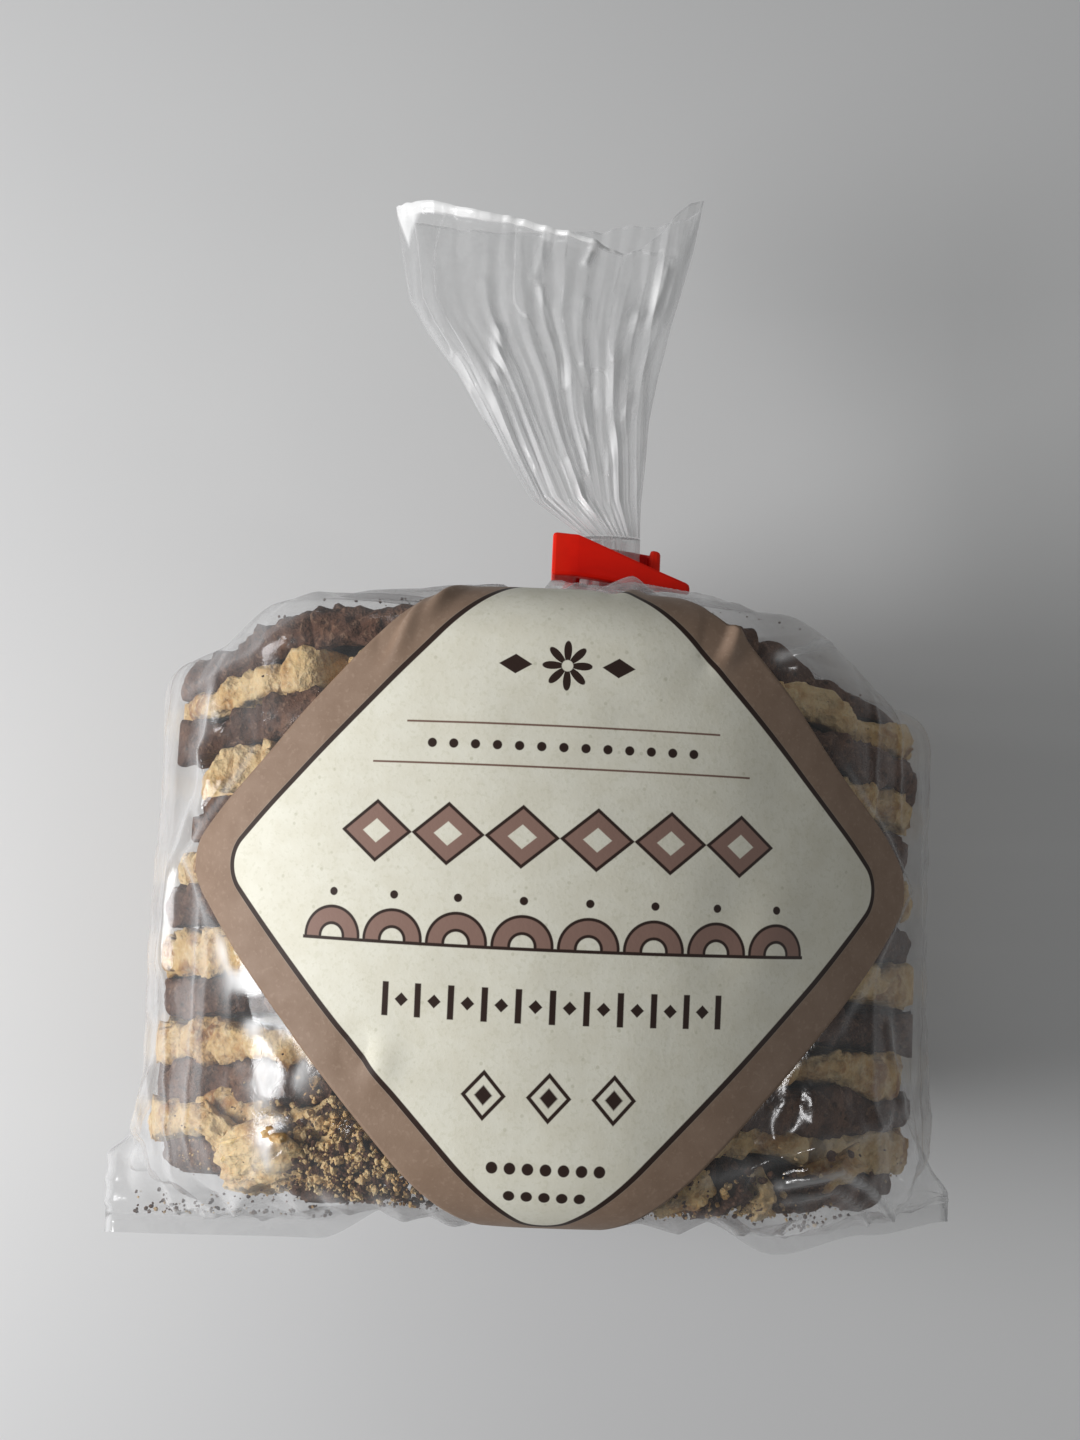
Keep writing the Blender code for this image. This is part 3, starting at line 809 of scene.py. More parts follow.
def wafer_face(r, angle):
    """Height of the pressed pattern, from 0 to 1, at radius share r and angle."""
    flutes = np.abs(np.cos(FLUTES / 2 * angle)) ** 0.6 * plateau(r, 0.80, 0.83, 0.95, 0.98)
    rings = bell(r - 0.235, 0.013) + bell(r - 0.785, 0.013)
    turn = np.abs((angle / (2 * np.pi) * LEAVES) % 1.0 - 0.5) * 2
    leaf = np.sqrt(np.maximum(0.0, 1 - ((r - 0.5) / 0.25) ** 2)) * 0.72
    outline = bell(turn - leaf, 0.10) * (np.abs(r - 0.5) < 0.26)
    vein = bell(turn, 0.08) * (np.abs(r - 0.5) < 0.17)
    x, z = r * np.cos(angle), r * np.sin(angle)
    net = highest(*(np.abs(np.sin(NET_RADIANS * (x + way * z))) for way in (1, -1))) ** 10
    net = net * smooth(turn, leaf + 0.05, leaf + 0.2) * plateau(r, 0.27, 0.3, 0.74, 0.77)
    star = np.abs(np.cos(LEAVES / 2 * angle)) ** 0.7 * plateau(r, 0.03, 0.06, 0.18, 0.22)
    return np.clip(highest(flutes * 0.9, rings, outline, vein * 0.8, net * 0.7, star), 0, 1)


def wafer_edge(radius, angle, circle, seed, bites):
    """Radius of a wafer's ragged outline: waves, lumps of spilt batter, chips, and given bites of
    (angle, half width, depth), where a bite of less than no depth is a lobe."""
    edge = radius - 0.0008 + 0.0010 * rough(circle * 1.8, seed, 2)
    edge = edge + 0.0013 * rough(circle * 6, seed + 1, 3) + 0.0016 * (lumps(circle * 8, seed) - 0.6)
    rng = np.random.default_rng(seed)
    chips = [(rng.uniform(0, 2 * np.pi), rng.uniform(*width), rng.uniform(*depth))
             for count, width, depth in CHIPS for _ in range(count)]
    ragged = 1 + 0.35 * rough(circle * 24, seed + 9, 2)
    for at, width, depth in (*chips, *bites):
        gap = np.abs((angle - at + np.pi) % (2 * np.pi) - np.pi)
        edge = edge - depth * (1 - smooth(gap * ragged, 0.5 * width, width))
    return edge


def pressed_back(y, number, bulk, low, high):
    """y of an end wafer's middle where the film between low and high presses it back, and each
    wafer presses on the next."""
    for inner, end, way in ((number - 1, high, 1), (WAFER_COUNT - number, low, -1)):
        if inner < PRESSED_COUNT:
            past = (y - end) * way + bulk + inner * WAFER_BULK + SEAL_CLEARANCE * (way < 0)
            y = y - way * np.clip(past, 0.0, PRESS_LIMIT - PRESS_STEP * inner)
    return y


def wafer(name, number, room, radius, segments, face_rings, bites):
    """One wafer on edge: pressed on both faces, with a wavy, lumpy rim, held inside the film."""
    seed = 10 * number
    angle = all_round(segments)
    cos, sin = np.cos(angle), np.sin(angle)
    circle = plane(cos, sin)
    edge = wafer_edge(radius, angle, circle, seed, bites)
    half = WAFER_HALF + 0.0010 * rough(circle * 3.2, seed + 2, 2)
    half = half + 0.0013 * (lumps(circle * 6, seed + 4) - 0.5)
    half = np.clip(half + 0.0005 * rough(circle * 18, seed + 3, 2), *WAFER_HALF_RANGE)
    rows = {-1: [], 1: []}
    for side, rings in zip((-1, 1), face_rings):
        crowding = 1.0 if rings == END_RINGS else WAFER_RING_CROWDING
        for f in 1 - (1 - np.linspace(0.0, 1.0, rings + 1)[1:]) ** crowding:
            swell = smooth(f, 0.84, 1.0)
            press = 0.0007 * (wafer_face(f, angle) - 0.5) * (1 - smooth(f, 0.95, 1.0))
            rows[side].append((f * (edge - WAFER_EDGE),
                               side * (WAFER_CORE * (1 - swell) + half * swell + press)))
    rim = [(edge - WAFER_EDGE * (1 - np.cos(t) ** 0.75), half * np.sin(t))
           for t in np.linspace(-np.pi / 2, np.pi / 2, WAFER_RIM_STEPS)[1:-1]]
    stations = rows[-1] + rim + rows[1][::-1]
    r, depth = (np.array([np.broadcast_to(pair[i], angle.shape)[0] for pair in stations]) for i in (0, 1))
    x, z = r * cos, r * sin
    # Baked crumb: rounded lumps and pits that fade towards the pressed middle
    ragged = smooth(r / radius, 0.88, 0.965)
    body = stacked(x, depth, z)
    grain = 0.0013 * (lumps(body / 0.0042, seed) - 0.55) + 0.0007 * (lumps(body / 0.0017, seed + 1) - 0.5)
    grain = grain + 0.0006 * rough(body / 0.0012, seed + 5, 2)
    r = r + ragged * grain
    depth = depth * (1 + 0.45 * ragged * grain / 0.0012)
    x, z = r * cos, r * sin
    # Bends: one that neighbours share, and a ruffle of its own along the rim
    flat = plane(x / 0.045, z / 0.045)
    warp = 0.0011 * rough(flat + np.array((0, 0, number * 0.16)), 21, 2) * smooth(r, 0.01, radius)
    ruffle = rough(plane(x / 0.018, z / 0.018), seed + 7, 2)
    ruffle = 0.0015 * ruffle * smooth(r, 0.6 * radius, radius)
    share = smooth(TOP_Z - WAFER_CENTRE_Z - z, 0.0, WAFER_SAG_DEPTH)
    top_y = STACK_TO_Y - WAFER_PITCH * (number - 0.5)
    lower_end = 0.0016 * smooth(-x, 0.040, 0.062) * hump(number, 2, 2)
    upper_end = 0.0004 * smooth(-x, 0.0, 0.03) * (number == 1)
    middle_y = top_y + share * (WAFER_FAN * top_y - WAFER_SAG) + warp + ruffle - lower_end + upper_end
    turned = np.arctan2(z, x)
    bulk = np.abs(depth).max() + 2 * FILM_GAP
    y = pressed_back(middle_y, number, bulk, *room.span(turned, r)) + depth
    wall = room.radius(turned, y) - FILM_GAP - INSET_MARGIN * side_inset(x)
    wall = wall - SHOULDER_CLEARANCE * smooth(x, 0.030, 0.050) * (number == 1)
    shrink = np.minimum(1.0, wall / np.maximum(r, 1e-6))
    place = stacked(x * shrink, y, WAFER_CENTRE_Z + z * shrink)
    place[..., 2] = np.maximum(place[..., 2], FLOOR_GAP)
    count, columns = place.shape[:2]
    hubs = [place[0].mean(0), place[-1].mean(0)]
    vertices = np.concatenate([place.reshape(-1, 3), hubs])
    faces = [grid_faces(count, columns, True)[:, ::-1],
             cap_faces(0, columns, count * columns, True),
             cap_faces((count - 1) * columns, columns, count * columns + 1, False)]
    mesh = mesh_from(name, vertices, faces)
    brown = smooth(r / radius, 0.955, 1.0) * (0.5 + 0.5 * (grain > 0.0002))
    set_share(mesh, "rim", np.concatenate([brown.ravel(), [0.0, 0.0]]))
    return mesh


# ---------------------------------------------------------------- broken pieces and crumbs


def ball(rings=4, columns=7):
    """Vertices and triangles of a little ball."""
    t = np.linspace(0, np.pi, rings + 2)[1:-1, None]
    a = all_round(columns)
    grid = stacked(np.sin(t) * np.cos(a), np.sin(t) * np.sin(a), np.cos(t)).reshape(-1, 3)
    sides = grid_faces(rings, columns, True)[:, ::-1]
    faces = (sides[:, [1, 2, 3]], sides[:, [0, 1, 3]], cap_faces(0, columns, len(grid), True),
             cap_faces(len(grid) - columns, columns, len(grid) + 1, False))
    return np.concatenate([grid, [[0, 0, 1]], [[0, 0, -1]]]), np.concatenate(faces)


def under_film(s, m, depth):
    """Points at a depth under the film at arc lengths s across and m along the top, and normals."""
    point, normal = along_top(s, m)
    depth = depth + INSET_MARGIN * side_inset(point[..., 0])
    return point - normal * depth[..., None], normal


def shards(name, pieces, seed):
    """Broken pieces of wafer as one mesh, from rows like those of SHARDS."""
    base, faces = ball(22, 40)
    vertices, numbers = [], []
    for i, (*lengths, turn, tilt) in enumerate(pieces):
        s, m, depth, (length,), (width,) = np.array(lengths)[:, None] / 1000
        place, normal = under_film(s, m, depth)
        flat = np.sign(base) * np.abs(base) ** np.array((0.75, 0.75, 0.5))
        corner = 1 + 0.45 * rough(base * 1.4, seed + 5 * i, 2) + 0.22 * rough(base * 5, seed + 5 * i + 1, 3)
        shape = flat * corner[:, None] * np.array((length / 2, width / 2, WAFER_CORE * 1.15))
        grain = 0.0008 * (lumps(shape / 0.0024, seed + i) - 0.5) \
            + 0.0005 * rough(shape / 0.001, seed + i, 2)
        shape = shape + base * grain[:, None]
        axis = Vector(normal[0])
        spin = axis.to_track_quat("Z", "Y").to_matrix() @ Matrix.Rotation(turn, 3, "Z") \
            @ Matrix.Rotation(tilt, 3, "X")
        vertices.append(place + shape @ np.array(spin).T)
        numbers.append(faces + i * len(base))
    return mesh_from(name, np.concatenate(vertices), [np.concatenate(numbers)])


def crumbs(name, places, sizes, seed):
    """Loose crumbs of one kind as one mesh."""
    rng = np.random.default_rng(seed)
    base, faces = ball()
    count = len(places)
    stretch = rng.uniform(0.6, 1.2, (count, 1, 3))
    turn = np.linalg.qr(rng.normal(size=(count, 3, 3)))[0]
    shape = base[None] * stretch
    bumps = 1 + 0.65 * rough(base[None] * 1.6 + rng.uniform(0, 20, (count, 1, 3)), seed, 2)
    shape = (shape * bumps[..., None]) @ turn
    vertices = places[:, None, :] + shape * sizes[:, None, None]
    vertices[..., 2] = np.maximum(vertices[..., 2], CRUMB_FLOOR_GAP)
    numbers = (np.arange(count) * len(base))[:, None, None] + faces[None]
    return mesh_from(name, vertices.reshape(-1, 3), [numbers.reshape(-1, 3)], smooth_faces=False)


def crumb_places(rng, groups, amount):
    """Places and sizes of the crumbs in rows like those of GROUPS."""
    places, sizes = [], []
    for count, *lengths in groups:
        s, m, s_spread, m_spread, size, depth = np.array(lengths) / 1000
        count = int(count * amount)
        radius = size * (0.22 + 0.78 * rng.random(count) ** 3)
        at_s = np.clip(s + s_spread * rng.normal(size=count) * 0.5, -HALF_ARC, HALF_ARC)
        at_m = m + m_spread * rng.normal(size=count) * 0.5
        kept = (off_label(at_s, at_m, 0.002) > 0.5) & (at_m > -0.0595)
        below = radius + FILM_GAP + depth * rng.random(count)
        places.append(under_film(at_s[kept], at_m[kept], below[kept])[0])
        sizes.append(radius[kept])
    return np.concatenate(places), np.concatenate(sizes)


def seal_places(rng, count):
    """Places and sizes of the dust that lies in the fold along the seal."""
    x = rng.uniform(-0.068, 0.056, count)
    y = seal_line(x) + 0.0007 + 0.004 * rng.random(count) ** 2
    z = SEAL_Z + 0.0004 * rng.normal(size=count)
    return stacked(x, y, z), rng.uniform(0.00012, 0.00042, count)


# ---------------------------------------------------------------- materials


def math_method(operation, swap=False):
    """A method that adds a Math node, with its two values swapped where asked."""
    def method(self, other=None):
        return self.maths(operation, other, swap)

    return method


class Socket:
    """A shader socket in an expression, whose operators add Math nodes."""

    def __init__(self, paint, link):
        self.paint = paint
        self.link = link

    def maths(self, operation, other=None, swap=False, clamp=False):
        values = [self] if other is None else [self, other]
        if swap:
            values.reverse()
        settings = {"operation": operation, "use_clamp": clamp}
        return self.paint.node("ShaderNodeMath", settings, dict(enumerate(values)))

    __add__ = __radd__ = math_method("ADD")
    __sub__ = math_method("SUBTRACT")
    __rsub__ = math_method("SUBTRACT", swap=True)
    __mul__ = __rmul__ = math_method("MULTIPLY")
    __truediv__ = math_method("DIVIDE")
    __pow__ = math_method("POWER")
    __abs__ = math_method("ABSOLUTE")
    least = math_method("MINIMUM")
    most = math_method("MAXIMUM")
    fraction = math_method("FRACT")

    def below(self, edge, soft):
        """1 where the value is under edge and 0 above it, with a ramp of width soft."""
        return ((edge - self) / soft + 0.5).maths("ADD", 0.0, clamp=True)

    def above(self, edge, soft):
        """1 where the value is over edge and 0 under it."""
        return ((self - edge) / soft + 0.5).maths("ADD", 0.0, clamp=True)


class Paint:
    """Writes the nodes of one material."""

    def __init__(self, name):
        self.material = bpy.data.materials.new(name)
        self.material.use_nodes = True
        self.tree = self.material.node_tree
        self.tree.nodes.clear()
        self.where = self.place("Object")

    def node(self, kind, settings=None, values=None, output=0):
        """Adds a node, sets it up, then feeds its sockets with numbers or links."""
        made = self.tree.nodes.new(kind)
        for key, value in (settings or {}).items():
            setattr(made, key, value)
        for key, value in (values or {}).items():
            if isinstance(value, Socket):
                self.tree.links.new(value.link, made.inputs[key])
            else:
                made.inputs[key].default_value = value
        return Socket(self, made.outputs[output])

    def place(self, kind):
        """The point that is painted, in the coordinates of a kind: in metres for Object."""
        return self.node("ShaderNodeTexCoord", output=kind)

    def share(self, name):
        """A number stored at each vertex."""
        return self.node("ShaderNodeAttribute", {"attribute_name": name}, output="Fac")

    def grain(self, scale, detail, roughness, distortion=0.0):
        """Layered noise from 0 to 1."""
        values = {"Vector": self.where, "Scale": scale, "Detail": detail, "Roughness": roughness,
                  "Distortion": distortion}
        return self.node("ShaderNodeTexNoise", None, values, "Fac")

    def cells(self, scale):
        """Distance to the nearest of many scattered points."""
        values = {"Vector": self.where, "Scale": scale}
        return self.node("ShaderNodeTexVoronoi", None, values, "Distance")

    def layers(self, colour, *layers):
        """A colour with others over it, each given with the share that it covers."""
        for over, share in layers:
            colour = self.blend(colour, over, share)
        return colour

    def blend(self, first, second, factor):
        """first turning into second as factor goes from 0 to 1."""
        return self.node("ShaderNodeMix", {"data_type": "RGBA"}, {0: factor, 6: first, 7: second}, 2)

    def bump(self, height, strength, distance):
        """Normals tilted as if the surface had a height."""
        values = {"Height": height, "Strength": strength, "Distance": distance}
        return self.node("ShaderNodeBump", None, values)

    def parts(self, vector):
        """The x, y and z of a vector."""
        split = self.node("ShaderNodeSeparateXYZ", None, {0: vector})
        return [Socket(self, output) for output in split.link.node.outputs]

    def principled(self, **values):
        """A Principled surface, whose sockets are named with _ in place of each space."""
        values = {key.replace("_", " "): value for key, value in values.items()}
        return self.node("ShaderNodeBsdfPrincipled", None, values)

    def finish(self, shader):
        """The material, with a shader as its surface."""
        output = self.tree.nodes.new("ShaderNodeOutputMaterial")
        self.tree.links.new(shader.link, output.inputs["Surface"])
        return self.material


def srgb(red, green, blue):
    """A colour for a shader from three screen values of 0 to 255."""
    linear = [((c / 255 + 0.055) / 1.055) ** 2.4 if c > 10 else c / 255 / 12.92
              for c in (red, green, blue)]
    return (*linear, 1.0)


def film_material(name, haze, crinkle, mirror):
    """Clear film: see-through face on, milky and shiny where it is seen edge on."""
    paint = Paint(name)
    facing = paint.node("ShaderNodeLayerWeight", None, {"Blend": 0.5}, "Facing")
    cloud = paint.grain(28.0, 3.0, 0.55, 0.6)
    streak = paint.grain(110.0, 4.0, 0.6, 1.2)
    micro = paint.grain(520.0, 2.0, 0.5)
    smear = (cloud * streak).above(0.27, 0.16)
    # The share named seal is white where the film lies folded and a painted highlight along its folds,
    # seal, pleats and lip; it makes the film whiter, more opaque and less mirror-like there
    seal = paint.share("seal")
    edge = facing**2.4
    cover = haze + edge * 0.56 + smear * 0.06 + seal * 0.85
    shine = paint.principled(
        Base_Color=paint.blend((0.78, 0.78, 0.79, 1.0), (0.97, 0.97, 0.97, 1.0), seal),
        Metallic=(mirror - edge * 1.1 - seal * 0.8).most(0.05),
        Roughness=0.07 + smear * 0.12 + seal * 0.15,
        Normal=paint.bump(streak * 0.7 + micro * 0.3, crinkle, 0.0005))
    clear = paint.node("ShaderNodeBsdfTransparent", None, {"Color": (0.985, 0.985, 0.985, 1.0)})
    factor = cover.least(0.95)
    return paint.finish(paint.node("ShaderNodeMixShader", None, {0: factor, 1: clear, 2: shine}))


def vanilla_material(name):
    """Pale baked wafer, golden at the rim and on its high spots."""
    paint = Paint(name)
    broad, patch = paint.grain(38.0, 3.0, 0.6), paint.grain(150.0, 4.0, 0.6, 0.4)
    fine, pores, rim = paint.grain(900.0, 3.0, 0.6), paint.cells(700.0), paint.share("rim")
    golden = (patch + rim * 0.07).above(0.56, 0.16)
    toasted = (patch * 0.6 + broad * 0.4 + rim * 0.05).above(0.59, 0.09)
    colour = paint.layers(
        srgb(225, 197, 149),
        (srgb(206, 169, 110), broad.above(0.5, 0.25)),
        (srgb(184, 138, 80), golden * 0.75),
        (srgb(134, 84, 44), toasted * 0.75),
        (srgb(238, 222, 184), fine.above(0.58, 0.2) * 0.4),
        # Darker in the pits of the pores: painted shade
        (srgb(166, 126, 78), pores.below(0.20, 0.12) * 0.35))
    return paint.finish(paint.principled(
        Base_Color=colour, Roughness=0.62 + fine * 0.2, Specular_IOR_Level=0.35,
        Subsurface_Weight=0.12, Subsurface_Radius=(0.003, 0.0018, 0.0009),
        Normal=paint.bump(fine * 0.6 + patch * 0.9 + pores * 0.5, 0.8, 0.0012)))


def chocolate_material(name):
    """Dark cocoa wafer with fine pale flecks on its crumbs."""
    paint = Paint(name)
    broad, patch = paint.grain(45.0, 3.0, 0.6), paint.grain(180.0, 4.0, 0.62, 0.5)
    fine, pores, rim = paint.grain(1000.0, 3.0, 0.65), paint.cells(620.0), paint.share("rim")
    colour = paint.layers(
        srgb(100, 70, 55),
        (srgb(74, 49, 38), broad.above(0.5, 0.3)),
        (srgb(126, 92, 72), (patch + rim * 0.05).above(0.58, 0.14) * 0.7),
        # Darker in the pits of the pores: painted shade
        (srgb(38, 24, 19), pores.below(0.25, 0.15) * 0.65),
        (srgb(150, 120, 98), fine.above(0.60, 0.08) * 0.5))
    return paint.finish(paint.principled(
        Base_Color=colour, Roughness=0.7 + fine * 0.2, Specular_IOR_Level=0.3,
        Normal=paint.bump(fine * 0.6 + patch * 0.9 + pores * 0.4, 0.9, 0.0014)))


def box_distance(a, b, half, radius):
    """Distance from the edge of a rounded square, negative inside it."""
    x, y = abs(a) - (half - radius), abs(b) - (half - radius)
    outside = (x.most(0.0) ** 2 + y.most(0.0) ** 2) ** 0.5
    return outside + x.most(y).least(0.0) - radius


def lozenge(x, y, wide, high):
    """Distance, in shares of its size, from the edge of a lozenge."""
    return abs(x) / wide + abs(y) / high - 1.0


def repeated(x, pitch):
    """x measured from the middle of the nearest of a row of places, one each pitch."""
    return ((x / pitch + 0.5).fraction() - 0.5) * pitch


def label_material(name):
    """Cream paper with a taupe border and plain ornament in taupe and dark brown."""
    paint = Paint(name)
    u, v, _ = paint.parts(paint.place("UV"))
    u, v = (u - 0.5) * (PRINT_SPAN * 1000), (v - 0.5) * (PRINT_SPAN * 1000)
    a, b = (u + v) * math.sqrt(0.5), (v - u) * math.sqrt(0.5)
    inner = box_distance(a, b, 34.45, 4.6)
    fleck = paint.grain(1500.0, 2.0, 0.6)
    mottle = paint.grain(260.0, 4.0, 0.6)
    spots = paint.cells(420.0)
    cream = paint.layers(
        srgb(236, 233, 218),
        (srgb(230, 226, 209), mottle.above(0.5, 0.25)),
        (srgb(214, 211, 190), fleck.above(0.60, 0.1) * 0.35),
        (srgb(196, 194, 172), spots.below(0.10, 0.06) * 0.5))
    taupe = paint.layers(
        srgb(151, 127, 109),
        (srgb(143, 119, 101), mottle.above(0.5, 0.25)),
        (srgb(171, 147, 129), fleck.above(0.62, 0.1) * 0.35))

    def within(value, half, soft=0.12):
        """1 where a value lies within half of 0."""
        return abs(value).below(half, soft)

    def band(x, y, half_x, half_y):
        """1 inside a box round (x, y)."""
        return within(x, half_x) * within(y, half_y)

    def dots(x, y, radius, half, soft=0.1):
        """A row of dots that ends at half a width from the middle."""
        return ((x**2 + y**2) ** 0.5).below(radius, 0.12) * within(u, half, soft)

    # Chain of large lozenges, each with a small one inside
    x, y = repeated(u + 4.9, 9.8), v - 5.3
    big = lozenge(x, y, 4.6, 3.9)
    row = within(u, 29.4)
    ink = [within(big * 2.9, 0.21) * row]
    fill = [big.below(0.0, 0.05) * lozenge(x, y, 1.9, 1.6).above(0.0, 0.1) * row]
    # Row of arches under it, on a rule and with a dot over each
    x = repeated(u + 4.3, 8.6)
    arch = (x**2 + (v + 8.9) ** 2) ** 0.5
    low = v.above(-9.1, 0.12) * within(u, 34.4)
    ink += [(within(arch - 3.9, 0.2) + within(arch - 1.7, 0.2)) * low,
            band(u, v + 9.2, 34.4, 0.22), dots(x, v + 3.0, 0.55, 34.4, 0.12)]
    fill.append(arch.below(3.8, 0.1) * arch.above(1.8, 0.1) * low)
    # Row of dots between two rules, above the chain
    rules = band(u, v - 20.0, 21.0, 0.13).most(band(u, v - 14.5, 25.5, 0.13))
    ink.append(dots(repeated(u, 2.9), v - 17.2, 0.62, 18.85))
    # Eight-petal flower between two lozenges, near the top
    y = v - 28.0
    turned = paint.node("ShaderNodeMath", {"operation": "ARCTAN2"}, {0: y, 1: u})
    reach = (u**2 + y**2) ** 0.5
    petals = abs((turned * 4.0).maths("COSINE")) * 2.6 + 0.7
    ink += [(reach - petals).below(0.0, 0.15) * reach.above(0.75, 0.12),
            lozenge(abs(u) - 6.8, y, 2.2, 1.3).below(0.0, 0.08)]
    # Bars below the arches, with a lozenge between each two
    y = v + 16.5
    between = lozenge(repeated(u + 2.2, 4.4), y, 0.9, 0.9).below(0.0, 0.15)
    ink += [band(repeated(u, 4.4), y, 0.42, 2.2) * within(u, 22.6, 0.1), between * within(u, 21.0, 0.1)]
    # Three lozenges, then two rows of dots in the lower corner
    trio = lozenge(repeated(u, 8.4), v + 28.0, 2.6, 2.9)
    x = repeated(u, 2.3)
    ink += [(within(trio * 2.0, 0.25) + trio.below(-0.55, 0.1)) * within(u, 12.4, 0.1),
            dots(x, v + 37.0, 0.75, 8.1), dots(x, v + 40.7, 0.75, 5.8)]
    inside = inner.below(-0.3, 0.1)
    outline = inner.above(-0.1, 0.12) * inner.below(0.68, 0.12)
    colour = paint.layers(
        cream,
        (srgb(146, 116, 105), functools.reduce(Socket.most, fill) * inside),
        (srgb(120, 92, 80), rules * inside),
        (srgb(50, 34, 28), (functools.reduce(Socket.most, ink) * inside).most(outline)),
        (taupe, inner.above(0.66, 0.12)))
    return paint.finish(paint.principled(
        Base_Color=colour, Roughness=0.46 + mottle * 0.14, Specular_IOR_Level=0.4,
        Normal=paint.bump(fleck * 0.4 + mottle * 0.6, 0.18, 0.0003)))


def clip_material(name):
    """Bright red moulded plastic, slightly lighter along its sharp convex edges."""
    paint = Paint(name)
    swirl = paint.grain(120.0, 3.0, 0.5, 1.0)
    fine = paint.grain(1400.0, 2.0, 0.5)
    # Lighter along the edges, where the mesh is sharply convex
    convex_edges = paint.node("ShaderNodeNewGeometry", output="Pointiness")
    colour = paint.layers(
        srgb(246, 10, 1),
        (srgb(230, 5, 1), swirl.above(0.5, 0.3)),
        (srgb(250, 70, 40), convex_edges.above(0.56, 0.06) * 0.4))
    return paint.finish(paint.principled(
        Base_Color=colour, Roughness=0.34 + fine * 0.16, Specular_IOR_Level=0.2,
        Normal=paint.bump(fine * 0.4 + swirl * 0.6, 0.10, 0.0003)))


def floor_material(name):
    """Plain pale floor with a faint mottle."""
    paint = Paint(name)
    tone = paint.grain(3.0, 3.0, 0.5)
    colour = paint.blend(srgb(226, 226, 226), srgb(220, 220, 221), tone.above(0.5, 0.3))
    return paint.finish(paint.principled(Base_Color=colour, Roughness=0.55 + tone * 0.1))


# ---------------------------------------------------------------- settings and operators


class FilmSettings(bpy.types.PropertyGroup):
    haze: bpy.props.FloatProperty(
        name="Haze", description="How milky the film is where it is seen face on",
        default=0.055, min=0.0, max=1.0, subtype="FACTOR")
    crinkle: bpy.props.FloatProperty(
        name="Crinkle", description="Strength of the film's finest wrinkles",
        default=0.35, min=0.0, max=1.0, subtype="FACTOR")


class WaferSettings(bpy.types.PropertyGroup):
    radius: bpy.props.FloatProperty(
        name="Radius", description="Radius of a whole wafer",
        default=WAFER_RADIUS, min=0.05, max=0.066, unit="LENGTH", subtype="DISTANCE")
    fine: bpy.props.IntProperty(
        name="Segments", description="Segments round each wafer", default=480, min=60, max=900)


class CrumbSettings(bpy.types.PropertyGroup):
    amount: bpy.props.FloatProperty(
        name="Amount", description="Share of the usual number of crumbs",
        default=1.0, min=0.1, max=2.0, subtype="FACTOR")


class LabelSettings(bpy.types.PropertyGroup):
    thickness: bpy.props.FloatProperty(
        name="Thickness", description="Thickness of the paper",
        default=LABEL_THICKNESS, min=0.00005, max=0.0005, unit="LENGTH", subtype="DISTANCE")


class StageSettings(bpy.types.PropertyGroup):
    key_power: bpy.props.FloatProperty(
        name="Key light", description="Power of the large light at the left",
        default=1.7, min=0.0, max=100.0, unit="POWER")
    sky: bpy.props.FloatProperty(
        name="Sky", description="Strength of the even light from all round",
        default=0.19, min=0.0, max=5.0)


class MakeFilm(bpy.types.Operator):
    """Makes the film round the wafers and the pleated film past the clip"""

    bl_idname = "pizzelle.make_film"
    bl_label = "Film"

    # Material, mesh, the node that it takes the place of, and how much it mirrors
    FILMS = (("clear_film", bag_film, "bag_body", 0.55),
             ("clear_film_mouth", mouth_film, "bag_mouth", 0.15))

    def execute(self, context):
        settings = context.scene.pizzelle_film
        for name, mesh, node, mirror in self.FILMS:
            material = film_material(name, settings.haze, settings.crinkle, mirror)
            add_piece(mesh(), material, "clear_film", node)
        return {"FINISHED"}


class MakeWafers(bpy.types.Operator):
    """Makes the row of chocolate and vanilla wafers"""

    bl_idname = "pizzelle.make_wafers"
    bl_label = "Wafers"

    # By wafer, counted from the mouth: how much its radius falls short, and bites out of its rim as
    # (angle, half width in radians, depth)
    LEFT, RIGHT = math.pi, 0.0
    NARROWER = {2: 0.0010, 13: 0.0024}
    BITES = {
        1: ((0.80, 0.42, 0.008),),
        2: ((RIGHT, 0.4, 0.0015),),
        3: ((LEFT, 0.5, 0.0025),),
        4: ((LEFT - 0.2, 0.5, 0.0055), (RIGHT, 0.4, 0.0015)),
        5: ((LEFT - 0.35, 0.3, 0.0045), (LEFT + 0.2, 0.2, 0.003), (RIGHT, 0.5, 0.003)),
        6: ((LEFT - 0.1, 0.5, 0.0025), (RIGHT, 0.4, 0.0015)),
        7: ((LEFT, 0.4, 0.0025), (RIGHT, 0.5, 0.0020)),
        8: ((RIGHT - 0.1, 0.4, 0.0015),),
        9: ((RIGHT + 0.25, 0.12, -0.0030), (RIGHT + 0.6, 0.2, 0.003)),
        10: ((LEFT - 0.22, 0.07, -0.0015), (LEFT - 0.42, 0.06, -0.0020)),
        12: ((LEFT - 0.1, 0.5, -0.0020), (RIGHT, 0.4, 0.0020)),
        13: ((2.18, 0.30, 0.007), (0.95, 0.22, 0.005)),
    }

    def execute(self, context):
        settings = context.scene.pizzelle_wafers
        vanilla = vanilla_material("vanilla_wafer")
        chocolate = chocolate_material("chocolate_wafer")
        room = Room()
        for number in range(1, WAFER_COUNT + 1):
            kind = "chocolate" if number % 2 == 1 else "vanilla"
            outer = (number == WAFER_COUNT, number == 1)
            rings = [END_RINGS if shows else WAFER_RINGS for shows in outer]
            mesh = wafer(f"wafer_{number:02d}_{kind}", number, room,
                         settings.radius - self.NARROWER.get(number, 0.0),
                         settings.fine + END_SEGMENTS * any(outer), rings, self.BITES.get(number, ()))
            add_piece(mesh, chocolate if kind == "chocolate" else vanilla, f"{kind}_wafer")
        return {"FINISHED"}


